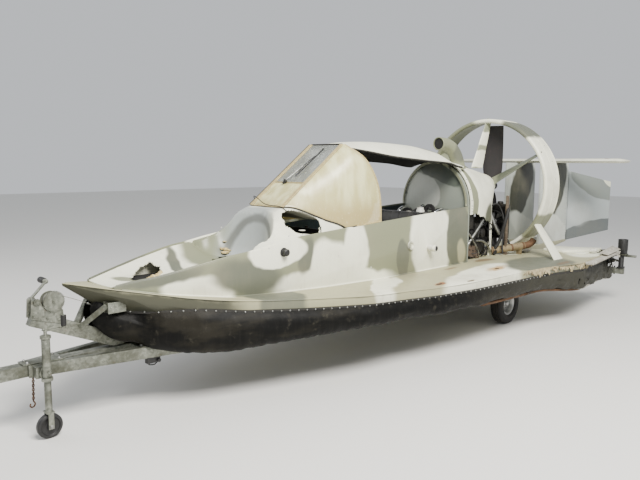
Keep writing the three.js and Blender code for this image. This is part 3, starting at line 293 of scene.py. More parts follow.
def scoop_paint():
    """The scoop and shoulder: cream bow and near shoulder, grey-green band, bluish bowl, dark arch."""
    patches = [
        (GREEN, 3705, -30, 90, 60, -45, 0.25), (GREY, 3290, -40, 46, 420, -18, 0.25),
        (GREEN, 2790, -190, 345, 330, 0, 0.12), ("9da3a1", 2640, -60, 220, 250, 0, 0.4),
        (CREAM, 2560, 345, 420, 90, 0, 0.12), (CREAM, 2400, 0, 130, 400, 0, 0.3),
    ]

    def arch(f, out):
        """A dark stain in the shape of an arch on the bowl's rear wall."""
        x, y, z = f.split()
        across = f.math("DIVIDE", y, 0.235)
        height = f.math("DIVIDE", f.math("SUBTRACT", z, 0.95), 0.255)
        away = f.math("SQRT", f.plus(f.times(across, across), f.times(height, height)))
        off = f.math("ABSOLUTE", f.math("SUBTRACT", f.plus(away, f.times(f.grain(120, 2), 0.12)), 1.06))
        share = f.times(f.step(off, 0.2, 0.05), f.step(x, SHIFT + 2.84, SHIFT + 2.74))
        return f.mix(f.times(share, 0.75), out, "55564f")
    return gelcoat("gelcoat scoop", CREAM, patches, "xy", 0.38, 0.24, spots=0.6, extra=arch)


scoop_finish = scoop_paint()


def face_paint(name, base, patches, plane, dirt=0.22):
    return gelcoat(name, base, patches, plane, 0.42, dirt)


bulkhead_paint = face_paint("gelcoat bulkhead", "7d8379", [
    ("4d544c", 0, 1575, 330, 95, -28, 0.06), ("b4b8ae", -175, 1370, 260, 165, -28, 0.05),
    ("b4b8ae", -330, 1180, 250, 120, 0, 0.05)], "yz")
ring_paint = face_paint("gelcoat ring", CREAM, [
    (GREEN, -560, 1850, 620, 480, -30, 0.1), (GREY, 420, 2060, 210, 160, 15, 0.15),
    (GREY, -700, 1250, 320, 340, 0, 0.12), (GREEN, 640, 920, 240, 170, -50, 0.15), (GREY, 90, 640, 420, 120,
    0, 0.2)], "yz", 0.28)
# The dark olive patch on the stay at 30 degrees is painted shade of its underside, over its darker green paint
stay_paint = face_paint("gelcoat stays", "858972", [(CREAM, 0, 1690, 220, 95, 8, 0.12),
    (CREAM, 0, 1930, 120, 80, 0, 0.15), ("5d6253", 430, 1640, 330, 170, 30, 0.1)], "yz")
roof_paint = face_paint("gelcoat roof", CREAM, [(GREY, 480, -60, 260, 260, 30, 0.12)], "xy", 0.3)
cowl_paint = face_paint("gelcoat cowl", CREAM, [(GREY, -330, 1060, 110, 160, 20, 0.2),
    (GREEN, 20, 1300, 60, 500, 0, 0.1)], "xz", 0.25)
fin_paint = face_paint("gelcoat fins", "b3b8b1", [(DARK, -2150, 1350, 260, 460, 30, 0.08),
    ("c9cdc4", -2250, 800, 420, 150, 25, 0.12)], "xz")
pipe_paint = face_paint("gelcoat intake", GREEN, [(GREY, 60, 1760, 90, 90, 0, 0.2)], "xz")


def rudder_paint(name):
    """Grey-blue with a darker upper field, a cream corner and a slate wave along the bottom."""
    patches = [("7b817c", -2880, 1365, 360, 125, 30, 0.06), ("d3d4bd", -3150, 1425, 150, 95, 30, 0.06),
               ("5f6565", -2900, 760, 460, 130, -12, 0.05), ("b5bbb9", -2700, 1000, 160, 150, 0, 0.4)]
    return gelcoat(name, "a3aaa9", patches, "xz", 0.42, 0.15, 60, 0.3)


rudder_finish = rudder_paint("gelcoat rudders")
stabilizer_paint = gelcoat("gelcoat stabilizer", "dcdccb", [], "xy", 0.45, 0.35, spots=0.9, marks=[
    ("7b4a2c", -2100, 300, 40, 30, 0, 0.4), ("7b4a2c", -2050, -500, 50, 24, 0, 0.4), ("7b4a2c", -2080, 900,
    40, 30, 0, 0.4)])


def glazing(name, clear):
    """Polycarbonate sheet, rolled cold and gone yellow in the sun: glossy, hazy, with soft vertical bands."""
    f = Finish(name, 0.16, IOR=1.58, Transmission_Weight=0.82 if clear else 0.3)
    x, y, z = f.split()
    bands = f.grain(90, 2, 0.5, f.squeezed(1, 1, 0.16))
    out = f.mix(f.step(bands, 0.35, 0.65), "cfd3cb" if clear else "d3cb8f", "e3e6df" if clear else "f0edb8")
    if not clear:
        out = f.mix(f.step(z, 1.4, 1.2), out, "c3b27a")
    scuffs = f.step(f.grain(16, 6, 0.7, f.squeezed(1, 1, 0.5)), 0.57, 0.68)
    out = f.mix(f.times(scuffs, 0.35), out, "f1ecd0")
    f.colour(out)
    f.rough(0.2 if clear else 0.24, 0.09, 60)
    f.bump(f.grain(170, 2, 0.4), 3, 0.25)
    return f.material


clear_pane, yellow_pane = glazing("polycarbonate clear", True), glazing("polycarbonate yellowed", False)


def plain(name, colours, middle, swing, lump=35, fine=4.0, depth=0.3, metallic=0.0, dirt=None, **sockets):
    """A finish of two near colours in soft lumps, with fine grain in its bump and wandering roughness."""
    f = Finish(name, middle, metallic, **sockets)
    out = f.mix(f.step(f.grain(lump, 4, 0.6), 0.35, 0.68), *colours[:2])
    if len(colours) > 2:
        out = f.mix(f.step(f.grain(lump / 3, 6, 0.7), 0.58, 0.68), out, colours[2])
    if dirt:
        out = f.mix(f.times(f.step(f.grain(lump * 5, 5, 0.65), 0.45, 0.75), 0.7), out, dirt)
    f.colour(out)
    f.rough(middle, swing, lump)
    f.bump(f.plus(f.grain(fine, 4, 0.7), f.grain(lump, 3)), depth, 0.6)
    return f.material


# Hot-dipped zinc: its spangle shows as light and dark flakes, dulled to matt grey, with rust at the cuts
def galvanised(name, rust=0.5):
    f = Finish(name, 0.5, 0.75)
    flakes = f.add("ShaderNodeTexVoronoi", {"Vector": f.coords, "Scale": 1000 / 14}).outputs["Color"]
    tone = f.add("ShaderNodeSeparateColor", {0: flakes}).outputs[0]
    out = f.mix(tone, "73766c", "989a8f")
    out = f.mix(f.step(f.grain(180, 5, 0.65), 0.38, 0.7), out, "55564a")
    out = f.mix(f.times(f.step(f.grain(24, 6, 0.75), 0.6, 0.7), rust), out, "6e4a2f")
    f.colour(out)
    f.rough(0.48, 0.14, 40)
    f.bump(f.grain(8, 4, 0.7), 0.4, 0.5)
    return f.material


zinc = galvanised("steel hot-dip galvanised")
bare_steel = plain("steel machined", ("a6a7a3", "7d7e7a", "6a4c35"), 0.38, 0.12, 25, 3, 0.2, 0.9)
rust_steel = plain("steel rusted", ("543b29", "6d5138", "2f211a"), 0.8, 0.12, 22, 3, 0.8, 0.25,
    dirt="57452f")
tan_muffler = plain("steel exhaust scaled brown", ("75674c", "8b7c5c", "453828"), 0.75, 0.1, 40, 4, 0.6,
    0.2)
black_iron = plain("cast iron black oily", ("171716", "262523", "3b332b"), 0.45, 0.2, 30, 4, 0.8, 0.2,
    dirt="2c2620")
chrome = plain("steel chromed", ("c9cac8", "b3b4b2"), 0.16, 0.08, 20, 5, 0.1, 1.0)
white_paint = plain("steel enamel white", ("d9d8cf", "c4c2b4", "8a7a60"), 0.4, 0.12, 30, 5, 0.2)
silver_paint = plain("rim silver enamel", ("b9bab8", "9c9d9a", "6d5a45"), 0.35, 0.12, 30, 5, 0.2, 0.55)
black_plastic = plain("ABS black moulded", ("151515", "1f1f1f"), 0.5, 0.12, 20, 1.5, 0.2)
grip_plastic = plain("PVC dipped black", ("121212", "1d1c1b"), 0.6, 0.1, 15, 2, 0.3)
prop_finish = plain("propeller laminate painted maroon black", ("0d0908", "171010", "2a1f1b"), 0.6, 0.14,
    60, 4, 0.4)
rubber = plain("rubber tyre", ("161616", "222120", "35322d"), 0.82, 0.08, 30, 2.5, 0.4, dirt="3a362f")
hose_rubber = plain("rubber hose", ("141414", "201f1e"), 0.7, 0.1, 20, 3, 0.3)
foam = plain("polyurethane foam torn", ("c9b98a", "a8925c", "6e5a34"), 0.95, 0.03, 14, 4, 2.5)
seam_rubber = plain("EPDM edge strip", ("1a1916", "2a2823"), 0.7, 0.1, 20, 3, 0.3)
tan_strip = plain("acrylic frame strip", ("b8a878", "9f8f62", "7c6d48"), 0.45, 0.1, 22, 4, 0.3)
strap_web = plain("polyester webbing", ("8a8a80", "6f6e66"), 0.85, 0.06, 6, 1.6, 0.8)
rope_finish = plain("cable sheath black", ("121212", "1c1c1c"), 0.55, 0.1, 20, 3, 0.2)
brown_sheet = plain("fuel tank enamel brown", ("4b3e33", "5c4d40", "30271f"), 0.6, 0.12, 40, 4, 0.4)
# Black duct lining; the same finish also makes dark sheets and a tube that are painted shade, under the torn
# holes, under the roof and in the snorkel's throat
black_lining_and_shade = plain("duct lining black and painted shade", ("0d0d0c", "161514"), 0.8, 0.08, 30, 4, 0.5)


def timber(name, light, dark, along="x"):
    """Softwood board, sawn and weathered: long grain about 6 mm apart, darker in the open grain."""
    f = Finish(name, 0.8)
    drawn = f.squeezed(0.06, 1, 1) if along == "x" else f.squeezed(1, 0.06, 1)
    lines = f.grain(6, 4, 0.65, drawn, 0.4)
    out = f.mix(f.step(lines, 0.35, 0.7), light, dark)
    out = f.mix(f.times(f.step(f.grain(90, 4), 0.45, 0.7), 0.5), out, "6f6455")
    f.colour(out)
    f.rough(0.8, 0.1)
    f.bump(lines, 1.0, 0.6)
    return f.material


board_wood = timber("pine board orange brown", "6e4c2e", "3a2819")
carpet_wood = timber("pine bunk grey", "7b6a54", "4b3f31")
grey_board = timber("pine board grey white", "b9b6ab", "8a857a")


def skirt_cloth():
    """Nylon coated with black neoprene: low sheen, brown where worn, with streaks that hang down."""
    f = Finish("neoprene coated nylon black", 0.5, Specular_IOR_Level=0.14)
    x, y, z = f.split()
    streaks = f.grain(34, 5, 0.65, f.squeezed(1, 1, 0.07))
    out = f.mix(f.step(streaks, 0.45, 0.75), "060605", "12110f")
    worn = f.step(f.grain(260, 5, 0.6, f.squeezed(0.35, 1, 1.6)), 0.5, 0.68)
    out = f.mix(f.times(worn, 0.5), out, "2b2820")
    rear = f.step(x, SHIFT + 1.5, SHIFT - 0.4)
    out = f.mix(f.times(rear, 0.6), out, "45443c")
    dust = f.step(f.grain(60, 6, 0.7), 0.55, 0.72)
    out = f.mix(f.times(dust, 0.25), out, "5a564a")
    f.colour(out)
    f.rough(0.5, 0.16, 60)
    weave = f.add("ShaderNodeTexWave", {"Vector": f.coords, "Scale": 1000 / 8,
        "Distortion": 1.5}).outputs["Fac"]
    f.bump(f.plus(f.times(weave, 0.12), f.times(f.grain(40, 4, 0.6, f.squeezed(1, 1, 0.2)), 1.4)), 3.0, 0.5)
    return f.material


skirt_finish = skirt_cloth()


def seat_vinyl():
    """Expanded vinyl, embossed with a leather grain about 2 mm across, drawn at 4 mm so that it shows."""
    f = Finish("vinyl black embossed", 0.5, Sheen_Weight=0.1)
    cells = f.add("ShaderNodeTexVoronoi", {"Vector": f.coords, "Scale": 1000 / 4}).outputs["Distance"]
    f.colour(f.mix(f.step(f.grain(70, 4), 0.4, 0.7), "191918", "2c2a27"))
    f.rough(0.5, 0.12)
    f.bump(cells, 0.5, 0.6)
    return f.material


vinyl = seat_vinyl()


# Meshes

WELD, NODE_WELD, FLAT_ANGLE = 2e-6, 1e-5, 0.5
BEVEL_SEGMENTS, BEVEL_ANGLE = 2, 40


class Piece:
    """Parts of one finish that move together, in one mesh. Places in millimetres from the axle line."""

    def __init__(self):
        self.points, self.faces = [], []

    def grow(self, points, faces):
        first = len(self.points)
        self.points += [tuple(p) for p in points]
        self.faces += [tuple(first + i for i in face) for face in faces]
        return self

    def loft(self, rings, closed=True, caps=True):
        """Skin through rings of points that all have the same count."""
        count = len(rings[0])
        faces = []
        for r in range(len(rings) - 1):
            for i in range(count if closed else count - 1):
                a, b = r * count + i, r * count + (i + 1) % count
                faces.append((a, b, b + count, a + count))
        if caps:
            faces.append(tuple(reversed(range(count))))
            faces.append(tuple(range((len(rings) - 1) * count, len(rings) * count)))
        return self.grow([p for ring in rings for p in ring], faces)

    def block(self, x0, x1, y0, y1, z0, z1):
        return self.loft([[(x, y0, z0), (x, y1, z0), (x, y1, z1), (x, y0, z1)] for x in (x0, x1)])

    def plate(self, outline, axis, low, high):
        """Outline in the plane across an axis, with thickness along it."""
        k = "xyz".index(axis)
        return self.loft([[tuple([*p[:k], level, *p[k:]]) for p in outline] for level in (low, high)])

    def tube(self, points, radius, sides=12, steps=0, caps=True):
        """Round tube along points; radius may be a list with one value per point."""
        path = [Vector(p) for p in points]
        radii = list(radius) if isinstance(radius, (list, tuple)) else [radius] * len(path)
        if steps:
            path, radii = smoothed(path, radii, steps)
        rings = []
        way = (path[1] - path[0]).normalized()
        side = way.orthogonal().normalized()
        for i, p in enumerate(path):
            ahead = (path[min(i + 1, len(path) - 1)] - path[max(i - 1, 0)]).normalized()
            side = (side - ahead * side.dot(ahead)).normalized()
            top = ahead.cross(side)
            rings.append([p + (side * math.cos(t) + top * math.sin(t)) * radii[i]
                          for t in (2 * math.pi * k / sides for k in range(sides))])
        return self.loft(rings, True, caps)

    def rod(self, a, b, radius, sides=20, end=None):
        return self.tube([a, b], [radius, radius if end is None else end], sides)

    def turned(self, profile, axis, centre, sides=32, closed=False):
        """Profile of (radius, place along the axis) pairs, turned about an axis through the centre."""
        k = "xyz".index(axis)
        rings = []
        for radius, along_axis in profile:
            ring = []
            for i in range(sides):
                t = 2 * math.pi * i / sides
                p = [0, 0, 0]
                p[(k + 1) % 3] = radius * math.cos(t)
                p[(k + 2) % 3] = radius * math.sin(t)
                p[k] = along_axis
                ring.append(tuple(centre[j] + p[j] for j in range(3)))
            rings.append(ring)
        if closed:
            rings.append(rings[0])
        return self.loft(rings, True, not closed)

    def bolt(self, spot, way, across=17, washer=True, nut=True):
        """Hexagon head on a washer, standing on a face that looks along way."""
        way = Vector(way).normalized()
        side = way.orthogonal().normalized()
        top = way.cross(side)
        spot = Vector(spot)

        def ring(radius, height, sides, turn=0.0):
            return [spot + way * height + (side * math.cos(t) + top * math.sin(t)) * radius
                    for t in (2 * math.pi * k / sides + turn for k in range(sides))]
        if washer:
            self.loft([ring(across * 0.72, 0, 16), ring(across * 0.72, across * 0.1, 16)])
        self.loft([ring(across * 0.57, across * 0.1, 6), ring(across * 0.57, across * 0.42, 6),
            ring(across * 0.5, across * 0.5, 6)])
        if nut:
            self.loft([ring(across * 0.28, across * 0.5, 12), ring(across * 0.24, across * 0.7, 12)])
        return self

    def screw(self, spot, way, radius=5):
        """Pan head, a low dome with a slot's shadow ring."""
        way = Vector(way).normalized()
        side = way.orthogonal().normalized()
        top = way.cross(side)
        rings = [[Vector(spot) + way * h * radius + (side * math.cos(t) + top * math.sin(t)) * radius * r
                  for t in (2 * math.pi * k / 10 for k in range(10))] for r, h in ((1, 0), (0.95, 0.3),
                  (0.55, 0.55), (0.2, 0.45))]
        return self.loft(rings)

    def shell(self, grid, offset, keep=None):
        """Thin skin over a grid of points, its other face moved by offset(point). Cells keep refuses stay open."""
        rows, columns = len(grid), len(grid[0])
        cells = [(i, j) for i in range(rows - 1) for j in range(columns - 1) if keep is None or keep(i, j)]
        size = rows * columns
        top = [p for row in grid for p in row]
        under = [tuple(Vector(p) + Vector(offset(p))) for p in top]
        faces, edges = [], {}
        for i, j in cells:
            a = i * columns + j
            quad = (a, a + 1, a + columns + 1, a + columns)
            faces.append(quad)
            faces.append(tuple(size + q for q in reversed(quad)))
            for k in range(4):
                edges[(quad[k], quad[(k + 1) % 4])] = True
        for a, b in edges:
            if (b, a) not in edges:
                faces.append((b, a, size + a, size + b))
        used = sorted({v for face in faces for v in face})
        number = {v: n for n, v in enumerate(used)}
        both = top + under
        return self.grow([both[v] for v in used], [tuple(number[v] for v in face) for face in faces])

    def make(self, name, material, body=MAIN, bevel=0.0, angle=35, replaces=()):
        mesh = bpy.data.meshes.new(name)
        mesh.from_pydata([place(*p) for p in self.points], [], self.faces)
        work = bmesh.new()
        work.from_mesh(mesh)
        bmesh.ops.remove_doubles(work, verts=work.verts, dist=WELD)
        bmesh.ops.recalc_face_normals(work, faces=work.faces)
        work.to_mesh(mesh)
        work.free()
        mesh.materials.append(material)
        return settle(name, mesh, body, bevel, angle, replaces)


def smoothed(path, radii, steps):
    """Catmull-Rom points through the path."""
    out, sizes = [], []
    for i in range(len(path) - 1):
        a, b = path[max(i - 1, 0)], path[i]
        c, d = path[i + 1], path[min(i + 2, len(path) - 1)]
        for k in range(steps):
            t = k / steps
            out.append(0.5 * ((2 * b) + (c - a) * t + (2 * a - 5 * b + 4 * c - d) * t * t
                + (3 * b - a - 3 * c + d) * t ** 3))
            sizes.append(radii[i] + (radii[i + 1] - radii[i]) * t)
    return out + [path[-1]], sizes + [radii[-1]]


def settle(name, mesh, body, bevel, angle, replaces):
    """Puts a mesh in the scene with rounded sharp edges and smooth faces, and lets it ride on its body."""
    piece = bpy.data.objects.new(name, mesh)
    bpy.context.scene.collection.objects.link(piece)
    if bevel:
        modifier = piece.modifiers.new("bevel", "BEVEL")
        modifier.width = bevel / 1000
        modifier.segments = BEVEL_SEGMENTS
        modifier.limit_method = "ANGLE"
        modifier.angle_limit = math.radians(BEVEL_ANGLE)
        apply_modifiers(piece)
    for polygon in piece.data.polygons:
        polygon.use_smooth = True
    piece.data.set_sharp_from_angle(angle=math.radians(angle))
    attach(piece, body)
    if replaces:
        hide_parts(*([replaces] if isinstance(replaces, str) else replaces))
    return piece


def apply_modifiers(piece):
    graph = bpy.context.evaluated_depsgraph_get()
    mesh = bpy.data.meshes.new_from_object(piece.evaluated_get(graph), depsgraph=graph)
    piece.modifiers.clear()
    piece.data = mesh


def refine(node, material, bevel=0.0, angle=35, name=None):
    """A copy of a CAD node with rounded edges and smooth shading, standing for it."""
    source = NODES[node]
    mesh = source.data.copy()
    work = bmesh.new()
    work.from_mesh(mesh)
    bmesh.ops.remove_doubles(work, verts=work.verts, dist=NODE_WELD)
    bmesh.ops.dissolve_limit(work, angle_limit=math.radians(FLAT_ANGLE), verts=work.verts, edges=work.edges)
    work.to_mesh(mesh)
    work.free()
    mesh.materials.clear()
    mesh.materials.append(material)
    return settle(name or f"skin_{node}", mesh, source["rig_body"], bevel, angle, node)


def along(rows, x, column=1):
    """Table lookup with straight lines between rows: x falls down the table."""
    for a, b in zip(rows, rows[1:]):
        if x >= b[0] or b is rows[-1]:
            t = (x - a[0]) / (b[0] - a[0])
            return a[column] + (b[column] - a[column]) * t
    return rows[0][column]


def flowing(rows, x, column=1):
    """Table lookup along a smooth line through the rows that never overshoots."""
    n = len(rows)
    i = 0
    while i < n - 2 and x < rows[i + 1][0]:
        i += 1
    slopes = [(rows[k + 1][column] - rows[k][column]) / (rows[k + 1][0] - rows[k][0]) for k in range(n - 1)]

    def tangent(k):
        if k == 0 or k == n - 1:
            return slopes[0 if k == 0 else -1]
        a, b = slopes[k - 1], slopes[k]
        return 0 if a * b <= 0 else 2 * a * b / (a + b)
    a, b = rows[i], rows[i + 1]
    h = b[0] - a[0]
    t = min(1.0, max(0.0, (x - a[0]) / h))
    return ((2 * t ** 3 - 3 * t * t + 1) * a[column] + (t ** 3 - 2 * t * t + t) * h * tangent(i)
            + (3 * t * t - 2 * t ** 3) * b[column] + (t ** 3 - t * t) * h * tangent(i + 1))


def ease(t):
    c = min(1.0, max(0.0, t))
    return c * c * (3 - 2 * c)


def span(start, end, pitch):
    """Values from start to end, evenly apart by about the pitch."""
    count = max(1, round(abs(end - start) / pitch))
    return [start + (end - start) * i / count for i in range(count + 1)]


def rumple(p, millimetres, seed=0.0):
    """Smooth noise from -1 to 1 at a place in millimetres."""
    return noise.noise(Vector(p) / millimetres + Vector((seed, seed * 1.7, seed * 0.3)))


# Sizes shared with the part's source
HULL = [
    [4150, 4, 889, 8, 3, 878, 2, 872], [3900, 190, 840, 45, 60, 700, 40, 690],
    [3800, 240, 820, 55, 120, 672, 80, 655], [3650, 320, 790, 65, 290, 670, 150, 620],
    [3460, 440, 757, 75, 436, 678, 230, 590], [3150, 560, 715, 75, 556, 636, 330, 550],
    [2800, 680, 690, 75, 676, 611, 420, 520], [2500, 780, 675, 75, 776, 596, 490, 505],
    [2200, 870, 661, 75, 866, 582, 550, 500], [1800, 930, 649, 75, 926, 570, 580, 500],
    [1500, 980, 640, 75, 976, 561, 600, 500], [1000, 1050, 640, 75, 1046, 561, 600, 500],
    [0, 1120, 640, 75, 1116, 561, 600, 500], [-700, 1250, 640, 75, 1246, 561, 600, 500],
    [-1900, 1100, 640, 75, 1096, 561, 600, 500],
]
DECK, CABIN_REAR, PANEL_THICK = 640, 190, 25
SIDE = [
    [3905, 192, 855], [3800, 226, 876], [3650, 290, 900], [3460, 340, 938], [3150, 398, 995],
    [3000, 412, 1012], [2800, 418, 1044], [2500, 418, 1080], [2200, 418, 1098], [1800, 418, 1122],
    [1500, 418, 1142], [1000, 418, 1168], [CABIN_REAR, 418, 1210],
]
CROWN = [
    [3905, 0], [3000, 4], [2930, 14], [2860, 40], [2780, 88], [2700, 140], [2620, 185], [2500, 212],
    [2200, 95],
]
SILL = [[2500, 190, 1290], [2350, 275, 1240], [2200, 345, 1185], [2050, 385, 1140], [1900, 405, 1118]]
DEPTH = [[3905, 6], [3650, 50], [3300, 105], [3000, 128], [2200, 128]]
BOWL_FLOOR, BOWL_X, BOWL_FRONT, BOWL_REAR, BOWL_SIDE = 885, 2790, 360, 215, 380
FAN_X, FAN_RADIUS = 2760, 220
RING_X, RING_Z, RING_RADIUS = -950, 1386, 769
SIDES = (("port", 1), ("starboard", -1))

# Hull, cabin sides and the plain solids keep the source's shapes, with rounded edges
LEG_WIDENING = 1.3
refine("hull", deck_paint, 5)
refine("tail_beam", deck_paint, 4)
for side, s in SIDES:
    refine(f"side_panel_{side}", sides_paint, 4)
    refine(f"stern_board_{side}", grey_board, 3)
    refine(f"fin_{side}", fin_paint, 5)
    refine(f"rudder_{side}", rudder_finish, 4)
    leg = refine(f"ring_leg_{side}", plain_paint, 3)
    head, foot = place(-868, s * 640, 985), place(-685, s * 1010, 600)
    way = (foot - head).normalized()
    for v in leg.data.vertices:
        middle = head + way * (v.co - head).dot(way)
        low = v.co.z < 0.646
        v.co = middle + (v.co - middle) * LEG_WIDENING
        if low:
            v.co.z = (DECK + 0.6) / 1000
    refine(f"bunk_{side}", carpet_wood, 4)
    refine(f"spring_{side}", rust_steel, 1.5)
    refine(f"guide_post_{side}", black_plastic, 3)
refine("bulkhead", bulkhead_paint, 3)
refine("stabilizer", stabilizer_paint, 4, 50)
refine("fan_duct", black_lining_and_shade, 1.5)
refine("lift_fan", black_plastic, 1.5)
refine("dash", black_plastic, 3)
refine("steering_yoke", black_plastic, 2)
refine("seat_box", black_plastic, 4)
refine("seat_support", black_plastic, 4)
refine("engine", black_iron, 6)
refine("drive_case", black_iron, 5)
refine("exhaust", tan_muffler, 4)
refine("trailer_frame", zinc, 3)
refine("trailer_tongue", zinc, 3)
refine("coupler", zinc, 3)
refine("axle", zinc, 2.5)
refine("winch_arm", zinc, 3)
refine("winch", zinc, 1.5)
refine("winch_crank", zinc, 1.5)
refine("jack_bracket", zinc, 2)
refine("jack_tube", zinc, 1.5)
refine("jack_leg", zinc, 1)
refine("jack_wheel", black_plastic, 3)


# Foredeck: the open scoop, deepening to a bowl over the lift fan, and the shoulders under the windows

def inner_half(x):
    return flowing(SIDE, x, 1) - PANEL_THICK - 0.3


def foredeck_z(x, y):
    half = inner_half(x)
    edge = flowing(SIDE, x, 2) - 3
    q = min(1, abs(y) / half)
    flat_half = along(SILL, x, 1) if x < 2500 else 190
    shoulder = edge + flowing(CROWN, x) * ease((half - abs(y)) / (half - min(flat_half, half - 5)))
    if x < 2500:
        return shoulder
    trough = edge - flowing(DEPTH, x) * (1 - q * q)
    reach = BOWL_FRONT if x > BOWL_X else BOWL_REAR
    away = math.hypot((x - BOWL_X) / reach, y / BOWL_SIDE)
    bowl = BOWL_FLOOR + 420 * away ** 5 * (1 - ease((x - 2800) / 195))
    opened = trough if x > 3000 else BOWL_FLOOR + (trough - BOWL_FLOOR) * ease((x - 2760) / 240)
    inside = trough if x > 3000 else max(opened, min(bowl, shoulder))
    return min(shoulder, max(inside, 0 if x > BOWL_X else bowl))


def sill_z(x, y):
    outer = inner_half(x)
    inner = min(along(SILL, x, 1), outer - 4)
    edge = along(SIDE, x, 2) - 3
    sill = max(along(SILL, x, 2), edge + 1)
    if x > 2201:
        return foredeck_z(x, y)
    return edge + (sill - edge) * ease((y - outer) / (inner - outer))


# Torn holes in plan: middle x, y, half length, half width, how ragged, and turn in degrees
TORN = [(3525, -88, 192, 84, 30, 45), (2408, 318, 170, 60, 18, -22)]


def torn_away(x, y, grow=0.0):
    for cx, cy, a, b, ragged, angle in TORN:
        wild = rumple((x, y, 0), 38, 3) * ragged + rumple((x, y, 0), 13, 9) * ragged * 0.5
        c, s = math.cos(math.radians(angle)), math.sin(math.radians(angle))
        u, v = (x - cx) * c + (y - cy) * s, (y - cy) * c - (x - cx) * s
        if (abs(u / (a + wild + grow)) ** 2.6 + abs(v / (b + wild * 0.7 + grow)) ** 2.6) < 1:
            return True
    return math.hypot(x - FAN_X, y) < FAN_RADIUS + 4 + grow and foredeck_z(x, y) < BOWL_FLOOR + 16


def build_foredeck():
    rows = span(3904, 2200, 8.5)
    shares = [v / 48 for v in range(-48, 49)]
    grid = [[(x, v * inner_half(x), foredeck_z(x, v * inner_half(x))) for v in shares] for x in rows]

    def keep(i, j):
        x, y, _ = grid[i][j]
        return not torn_away(x - 4, y + 3)
    skin = Piece().shell(grid, lambda p: (0, 0, -7), keep)
    for s in (1, -1):
        strip = []
        for x in span(2202, 1903, 12):
            outer = inner_half(x)
            inner = min(along(SILL, x, 1), outer - 4)
            strip.append([(x, s * (outer + (inner - outer) * v / 8), sill_z(min(x, 2200),
                outer + (inner - outer) * v / 8))
                          for v in range(9)])
        skin.shell(strip, lambda p: (0, 0, -7))
    return skin.make("foredeck_skin", scoop_finish, replaces="foredeck", angle=60)


build_foredeck()


def torn_rim(hole, share, name, material, droop, thick):
    """Torn laminate and foam along part of a hole's edge."""
    cx, cy, a, b, _, angle = hole
    turn = math.radians(angle)
    rim = Piece()
    for k in range(share[0], share[1]):
        t = math.radians(k * 6)
        reach = 1.0 + rumple((k * 9, 0, 0), 30, 5) * 0.1
        for layer in range(2):
            r = reach - layer * 0.12
            u, v = a * r * math.cos(t), b * r * math.sin(t)
            x, y = cx + u * math.cos(turn) - v * math.sin(turn), cy + u * math.sin(turn) + v * math.cos(turn)
            y = min(y, inner_half(x) - 2)
            z = foredeck_z(x, y) - 8 - layer * droop * (0.7 + random.random() * 0.6)
            size = thick * (0.7 + random.random() * 0.6)
            rings = []
            for h, w in ((-1, 0.5), (-0.4, 1), (0.4, 0.9), (1, 0.4)):
                rings.append([(x + math.cos(t) * size * 0.6 * h + math.cos(u) * size * w * 0.5,
                               y + math.sin(u) * size * w * 0.7, z + size * h * 0.7)
                               for u in (i * math.pi / 3.5 for i in range(7))])
            rim.loft(rings)
    rim.make(name, material, angle=80)


torn_rim(TORN[0], (7, 19), "foam_at_bow_hole", foam, 12, 30)
torn_rim(TORN[1], (8, 34), "laminate_at_shoulder_hole", plain_paint, 6, 9)
# Dark sheets under the two torn holes in the foredeck: painted shade of the hollow inside
shade_sheets = Piece().block(3300, 3720, -262, 120, 822, 824)
shade_sheets.block(2230, 2600, 240, 392, 1010, 1013)
shade_sheets.make("painted_shade_under_holes", black_lining_and_shade, bevel=1)
socket_plate = Piece().turned([(0, -2), (24, -2), (27, 0), (24, 3), (0, 3)], "z", (2424, 331, 1120), 24)
socket_plate.block(2370, 2480, 290, 380, 1085, 1089)
socket_plate.make("light_in_shoulder_hole", white_paint, bevel=1)
debris = Piece()
for k in range(12):
    x, y = 2745 + random.uniform(-24, 30), -236 + random.uniform(-30, 30)
    z = foredeck_z(x, y) + 4
    size = random.uniform(14, 30)
    debris.loft([[(x + h * size * 0.8 + math.cos(u) * size * w, y + math.sin(u) * size * w,
        z + h * size * 0.5 + size * 0.3)
                  for u in (i * math.pi / 3 for i in range(6))] for h, w in ((-0.6, 0.5), (0, 1),
                  (0.6, 0.45))])
debris.make("torn_foam_in_bowl", foam, angle=80)

# Lip round the bowl's rim and the fan opening
lip = Piece()
lip.turned([(FAN_RADIUS - 4, 866), (FAN_RADIUS + 6, 866), (FAN_RADIUS + 8, 890), (FAN_RADIUS + 2, 898),
    (FAN_RADIUS - 6, 892)],
           "z", (FAN_X, 0, 0), 64, closed=True)
lip.make("fan_opening_lip", black_lining_and_shade, angle=50)

# Roll along the deck's edge, bead at the cabin's foot and roll along the scoop's edge
def edge_rolls(name, finish, radius, places, plan, outwards, heights, up):
    roll = Piece()
    for s in (1, -1):
        roll.tube([(x, s * (flowing(plan, x, 1) + outwards), flowing(heights, x, 2) + up) for x in places],
                  radius, 8)
    roll.make(name, finish, angle=60)


edge_rolls("deck_edge_roll", deck_paint, 5, span(4120, -1890, 60), HULL, -1, HULL, -3)
edge_rolls("cabin_foot_bead", sides_paint, 6.5, span(3860, 200, 45), SIDE, 1, HULL, 3)
edge_rolls("scoop_edge_roll", sides_paint, 8, span(3890, 1600, 45), SIDE, -12, SIDE, 0)

# Windshield: a flat centre pane, clear above and yellowed below, and two curved side panes
BASE, HEAD = [2498, 188, 1289.3], [1824, 184, 1788]
PANE_REAR = [
    [0.0, 1566, 405, 1140], [0.2, 1572, 404, 1290], [0.4, 1592, 397, 1420], [0.6, 1632, 378, 1545],
    [0.8, 1704, 325, 1680], [1, 1820, 206, 1790],
]
CLEAR_FROM = 0.36


